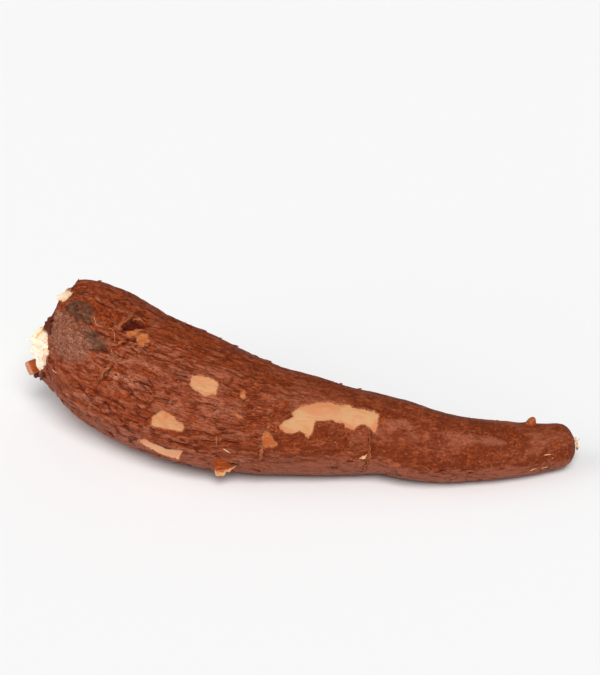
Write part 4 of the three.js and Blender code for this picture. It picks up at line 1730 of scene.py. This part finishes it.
class Grower(Graph):
    """A tree of geometry nodes that strews one small shape over the bark."""

    SOCKETS = {
        "Skin": "NodeSocketGeometry", "Amount": "NodeSocketFloat", "Length": "NodeSocketFloat",
        "Width": "NodeSocketFloat", "Thickness": "NodeSocketFloat", "Curl": "NodeSocketFloat",
        "Lean": "NodeSocketFloat", "Seed": "NodeSocketInt", "Finish": "NodeSocketMaterial",
    }

    def __init__(self, name):
        self.tree = bpy.data.node_groups.new(name, "GeometryNodeTree")
        super().__init__(self.tree)
        for socket, kind in self.SOCKETS.items():
            self.tree.interface.new_socket(socket, in_out="INPUT", socket_type=kind)
        self.tree.interface.new_socket(
            "Grown", in_out="OUTPUT", socket_type="NodeSocketGeometry"
        )
        self.given = self.nodes.new("NodeGroupInput").outputs

    def field(self, name, kind="FLOAT"):
        node = self.nodes.new("GeometryNodeInputNamedAttribute")
        node.data_type = kind
        node.inputs["Name"].default_value = name
        return node.outputs["Attribute"]

    def chance(self, low, high, salt):
        """A random number for each point or instance."""
        node = self.nodes.new("FunctionNodeRandomValue")
        node.data_type = "FLOAT"
        self.feed(low, node.inputs[2])
        self.feed(high, node.inputs[3])
        self.feed(self.plus(self.given["Seed"], salt), node.inputs["Seed"])
        return node.outputs[1]

    def three(self, x, y, z):
        node = self.nodes.new("ShaderNodeCombineXYZ")
        for socket, value in zip(node.inputs, (x, y, z)):
            self.feed(value, socket)
        return node.outputs[0]

    def place_parts(self):
        place = self.nodes.new("GeometryNodeInputPosition")
        node = self.nodes.new("ShaderNodeSeparateXYZ")
        self.feed(place.outputs[0], node.inputs[0])
        return node.outputs[0], node.outputs[1], node.outputs[2]

    def moved(self, shape, place):
        node = self.nodes.new("GeometryNodeSetPosition")
        self.feed(shape, node.inputs["Geometry"])
        self.feed(place, node.inputs["Position"])
        return node.outputs[0]

    def aligned(self, rotation, axis, pivot, vector):
        node = self.nodes.new("FunctionNodeAlignRotationToVector")
        node.axis = axis
        node.pivot_axis = pivot
        if rotation is not None:
            self.feed(rotation, node.inputs["Rotation"])
        self.feed(vector, node.inputs["Vector"])
        return node.outputs[0]

    def turned(self, rotation, angles):
        node = self.nodes.new("FunctionNodeRotateRotation")
        node.rotation_space = "LOCAL"
        turn = self.nodes.new("FunctionNodeEulerToRotation")
        self.feed(angles, turn.inputs[0])
        self.feed(rotation, node.inputs[0])
        self.feed(turn.outputs[0], node.inputs[1])
        return node.outputs[0]

    def strew(self, shape, amount, spin):
        """Puts the shape on the bark, along its grain, and closes the tree."""
        points = self.nodes.new("GeometryNodeDistributePointsOnFaces")
        self.feed(self.given["Skin"], points.inputs["Mesh"])
        self.feed(self.times(self.given["Amount"], amount), points.inputs["Density"])
        self.feed(self.given["Seed"], points.inputs["Seed"])
        stood = self.aligned(None, "Z", "AUTO", points.outputs["Normal"])
        laid = self.aligned(stood, "X", "Z", self.field("run", "FLOAT_VECTOR"))
        lean = self.times(self.given["Lean"], self.chance(-1.0, 0.2, 1))
        rotation = self.turned(laid, self.three(0.0, 0.0, self.chance(-spin, spin, 2)))
        rotation = self.turned(rotation, self.three(self.chance(-0.3, 0.3, 3), lean, 0.0))
        length = self.times(self.given["Length"], self.chance(0.5, 1.5, 4))
        width = self.times(self.given["Width"], self.chance(0.6, 1.4, 5))
        put = self.nodes.new("GeometryNodeInstanceOnPoints")
        self.feed(points.outputs["Points"], put.inputs["Points"])
        self.feed(shape, put.inputs["Instance"])
        self.feed(rotation, put.inputs["Rotation"])
        self.feed(self.three(length, width, self.given["Thickness"]), put.inputs["Scale"])
        tone = self.nodes.new("GeometryNodeStoreNamedAttribute")
        tone.data_type = "FLOAT"
        tone.domain = "INSTANCE"
        tone.inputs["Name"].default_value = "tone"
        self.feed(put.outputs[0], tone.inputs["Geometry"])
        self.feed(self.chance(0.0, 1.0, 6), tone.inputs["Value"])
        real = self.nodes.new("GeometryNodeRealizeInstances")
        self.feed(tone.outputs[0], real.inputs[0])
        finish = self.nodes.new("GeometryNodeSetMaterial")
        self.feed(real.outputs[0], finish.inputs["Geometry"])
        self.feed(self.given["Finish"], finish.inputs["Material"])
        self.feed(finish.outputs[0], self.nodes.new("NodeGroupOutput").inputs[0])
        return self.tree

    def on_bark(self):
        """1 on clean bark and 0 on its stains, bare peel and torn flesh."""
        whole = self.calc("GREATER_THAN", self.field("bare"), 0.6)
        outside = self.calc("GREATER_THAN", self.field("share"), 0.999)
        unbroken = self.calc("GREATER_THAN", self.field("torn"), 0.7)
        stained = self.calc("MAXIMUM", self.field("dusty"), self.field("scorch"))
        clean = self.times(unbroken, self.calc("LESS_THAN", stained, 0.3))
        return self.times(whole, self.times(outside, clean))


def flake_tree():
    """Flakes: thin curled leaves that taper to both ends, held down at one end."""
    grower = Grower("bark_flake_tree")
    block = grower.nodes.new("GeometryNodeMeshCube")
    for side, count in (("X", 5), ("Y", 3), ("Z", 2)):
        block.inputs["Vertices " + side].default_value = count
    x, y, z = grower.place_parts()
    taper = grower.minus(1.0, grower.times(grower.times(x, x), 3.0))
    rise = grower.calc("POWER", grower.plus(x, 0.5), 2.0)
    bow = grower.times(grower.times(y, y), 2.0)
    rise = grower.times(grower.plus(rise, bow), grower.given["Curl"])
    thin = grower.times(z, grower.plus(0.3, taper))
    place = grower.three(x, grower.times(y, taper), grower.plus(thin, rise))
    shape = grower.moved(block.outputs["Mesh"], place)
    rough = grower.calc("POWER", grower.field("coarse"), 2.0)
    return grower.strew(shape, grower.times(rough, grower.on_bark()), 0.45)


def spot_tree():
    """Corky spots: low rounded bumps, a little longer than wide, mostly on the smooth part."""
    grower = Grower("corky_spot_tree")
    ball = grower.nodes.new("GeometryNodeMeshIcoSphere")
    ball.inputs["Radius"].default_value = 0.5
    ball.inputs["Subdivisions"].default_value = 2
    share = grower.minus(1.15, grower.field("coarse"))
    return grower.strew(ball.outputs["Mesh"], grower.times(share, grower.on_bark()), 1.2)


# The course of a hair before it is scaled. Both of its ends are in the bark.
HAIR_COURSE = {
    "Start": (-0.5, 0.0, -0.6),
    "Start Handle": (-0.2, 0.6, 1.6),
    "End Handle": (0.3, -0.7, 1.8),
    "End": (0.5, 0.3, -0.3),
}


def hair_tree():
    """Fine fibres: bent hairs with both ends in the bark."""
    grower = Grower("fine_fibre_tree")
    line = grower.nodes.new("GeometryNodeCurvePrimitiveBezierSegment")
    line.inputs["Resolution"].default_value = 7
    for end, place in HAIR_COURSE.items():
        line.inputs[end].default_value = place
    ring = grower.nodes.new("GeometryNodeCurvePrimitiveCircle")
    ring.inputs["Resolution"].default_value = 4
    grower.feed(grower.given["Curl"], ring.inputs["Radius"])
    tube = grower.nodes.new("GeometryNodeCurveToMesh")
    grower.feed(line.outputs[0], tube.inputs["Curve"])
    grower.feed(ring.outputs[0], tube.inputs["Profile Curve"])
    tube.inputs["Fill Caps"].default_value = True
    share = grower.plus(grower.field("coarse"), 0.05)
    return grower.strew(tube.outputs[0], grower.times(share, grower.on_bark()), 1.5)


# What is strewn: the most per square metre, sizes in metres, and the lean in radians. "Curl" is
# how far a flake bends, in thicknesses, or a hair's radius before it is scaled.
STREWN = {
    "bark_flakes": {
        "Amount": 11000.0, "Length": 0.0032, "Width": 0.0011, "Thickness": 0.00030,
        "Curl": 1.0, "Lean": 0.12, "Seed": 11,
    },
    "corky_spots": {
        "Amount": 6000.0, "Length": 0.0011, "Width": 0.0008, "Thickness": 0.00045,
        "Curl": 0.0, "Lean": 0.0, "Seed": 23,
    },
    "fine_fibres": {
        "Amount": 2400.0, "Length": 0.0042, "Width": 0.0030, "Thickness": 0.0006,
        "Curl": 0.03, "Lean": 0.1, "Seed": 37,
    },
}


def make_strewn(name, tree, skin, material):
    """Runs a tree on a copy of the bark and keeps what it grows as a plain mesh."""
    carrier = bpy.data.objects.new(name + "_carrier", skin.data)
    bpy.context.scene.collection.objects.link(carrier)
    modifier = carrier.modifiers.new("grow", "NODES")
    modifier.node_group = tree
    for item in tree.interface.items_tree:
        if item.in_out == "INPUT" and item.name in STREWN[name]:
            modifier[item.identifier] = STREWN[name][item.name]
        if item.in_out == "INPUT" and item.name == "Finish":
            modifier[item.identifier] = material
    grown = carrier.evaluated_get(bpy.context.evaluated_depsgraph_get())
    mesh = bpy.data.meshes.new_from_object(grown)
    bpy.data.objects.remove(carrier)
    mesh.name = name
    mesh.polygons.foreach_set("use_smooth", [True] * len(mesh.polygons))
    for vertex in mesh.vertices:
        vertex.co.z = max(vertex.co.z, REST_GAP * MM)
    piece = bpy.data.objects.new(name, mesh)
    bpy.context.scene.collection.objects.link(piece)
    face_out(mesh)
    return piece


# ------------------------------------------------------------------ floor and light


def plain_material(name, colour, roughness):
    return Recipe(name).finish(colour, roughness)


SKY_STRENGTH = 0.21
SUN_STRENGTH = 2.72
SUN_SPREAD = math.radians(34)
SUN_PLACE = Vector((0.10, -0.72, 0.98))
FILL_STRENGTH = 1.25
FILL_SPREAD = math.radians(60)
FILL_PLACE = Vector((-0.95, -0.22, 0.46))


FLOOR_REACH = 6.0
FLOOR_PALE = (0.88, 0.88, 0.88, 1)


def make_floor():
    mesh = bpy.data.meshes.new("floor")
    sides = [(-1, -1), (1, -1), (1, 1), (-1, 1)]
    corners = [(FLOOR_REACH * x, FLOOR_REACH * y, 0) for x, y in sides]
    mesh.from_pydata(corners, [], [(0, 1, 2, 3)])
    mesh.materials.append(plain_material("pale_floor", FLOOR_PALE, 0.9))
    floor = bpy.data.objects.new("floor", mesh)
    bpy.context.scene.collection.objects.link(floor)


def far_light(name, strength, spread, place):
    """A sun that shines from a place towards the origin."""
    data = bpy.data.lights.new(name, "SUN")
    data.energy = strength
    data.angle = spread
    light = bpy.data.objects.new(name, data)
    light.location = place
    light.rotation_euler = place.to_track_quat("Z", "Y").to_euler()
    bpy.context.scene.collection.objects.link(light)


def make_light():
    world = bpy.data.worlds.new("studio")
    world.use_nodes = True
    sky = world.node_tree.nodes["Background"]
    sky.inputs["Color"].default_value = (1, 1, 1, 1)
    sky.inputs["Strength"].default_value = SKY_STRENGTH
    bpy.context.scene.world = world
    far_light("soft_front_light", SUN_STRENGTH, SUN_SPREAD, SUN_PLACE)
    far_light("soft_left_light", FILL_STRENGTH, FILL_SPREAD, FILL_PLACE)
    bpy.context.scene.view_settings.view_transform = "Standard"


# ------------------------------------------------------------------ putting it together


def settle(piece):
    """Ties a piece to the root's body."""
    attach(piece, "root")


make_camera()
make_floor()
make_light()
bark = bark_material()
flesh = flesh_material()
dry_peel = dry_peel_material("dry_peel", DRY_EDGE, FLAP_BROWN, paled=0.8)
ring_peel = dry_peel_material("ring_peel", PEEL_TOFFEE, FLAP_BROWN, paled=0.9)
curl_peel = dry_peel_material("curl_peel", CURL_CREAM, CURL_ORANGE, paled=0.9)
dark_peel = dry_peel_material("dark_peel", RUST_DEEP, SHARD_DARK)
pale_shred = dry_peel_material("pale_shred", FLESH_CREAM, FLESH_TAN)
dry_sliver = dry_peel_material("dry_sliver", SLIVER_CREAM, DRY_EDGE)
dry_fibre = dry_peel_material("dry_fibre", FIBRE_TAN, DRY_EDGE)
chip_cork = dry_peel_material("chip_cork", CHIP_TAN, CHIP_DEEP)
chip_bark = dry_peel_material("chip_bark", PEEL_ORANGE, RUST)
bud_cork = dry_peel_material("bud_cork", PEEL_ORANGE, BUD_BROWN)
flake_bark = scattered_material("flake_bark", RUST, RUST_DEEP)
spot_cork = scattered_material("spot_cork", FLECK, RUST_DEEP)
fibre_bark = scattered_material("fibre_bark", RUST_BRIGHT, RUST_DEEP)

body = make_body([bark, flesh])
skin_tree = surface_tree(body.data)
pieces = [
    body,
    make_strips("peel_curls", skin_tree, PEEL_CURLS, dry_peel),
    make_strips("ring_flakes", skin_tree, RING_FLAKES, ring_peel),
    make_strips("edge_curls", skin_tree, EDGE_CURLS, curl_peel),
    make_strips("rim_shards", skin_tree, RIM_SHARDS, dark_peel),
    make_strips("pale_slivers", skin_tree, SLIVERS, dry_sliver),
    make_strips("tip_tuft", skin_tree, TIP_TUFT, pale_shred),
    make_fibres(skin_tree, dry_fibre),
    make_chip(skin_tree, [chip_cork, dark_peel, chip_bark]),
    make_bud(skin_tree, bud_cork),
    make_strewn("bark_flakes", flake_tree(), body, flake_bark),
    make_strewn("corky_spots", spot_tree(), body, spot_cork),
    make_strewn("fine_fibres", hair_tree(), body, fibre_bark),
]
for piece in pieces:
    settle(piece)
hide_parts(NODE)
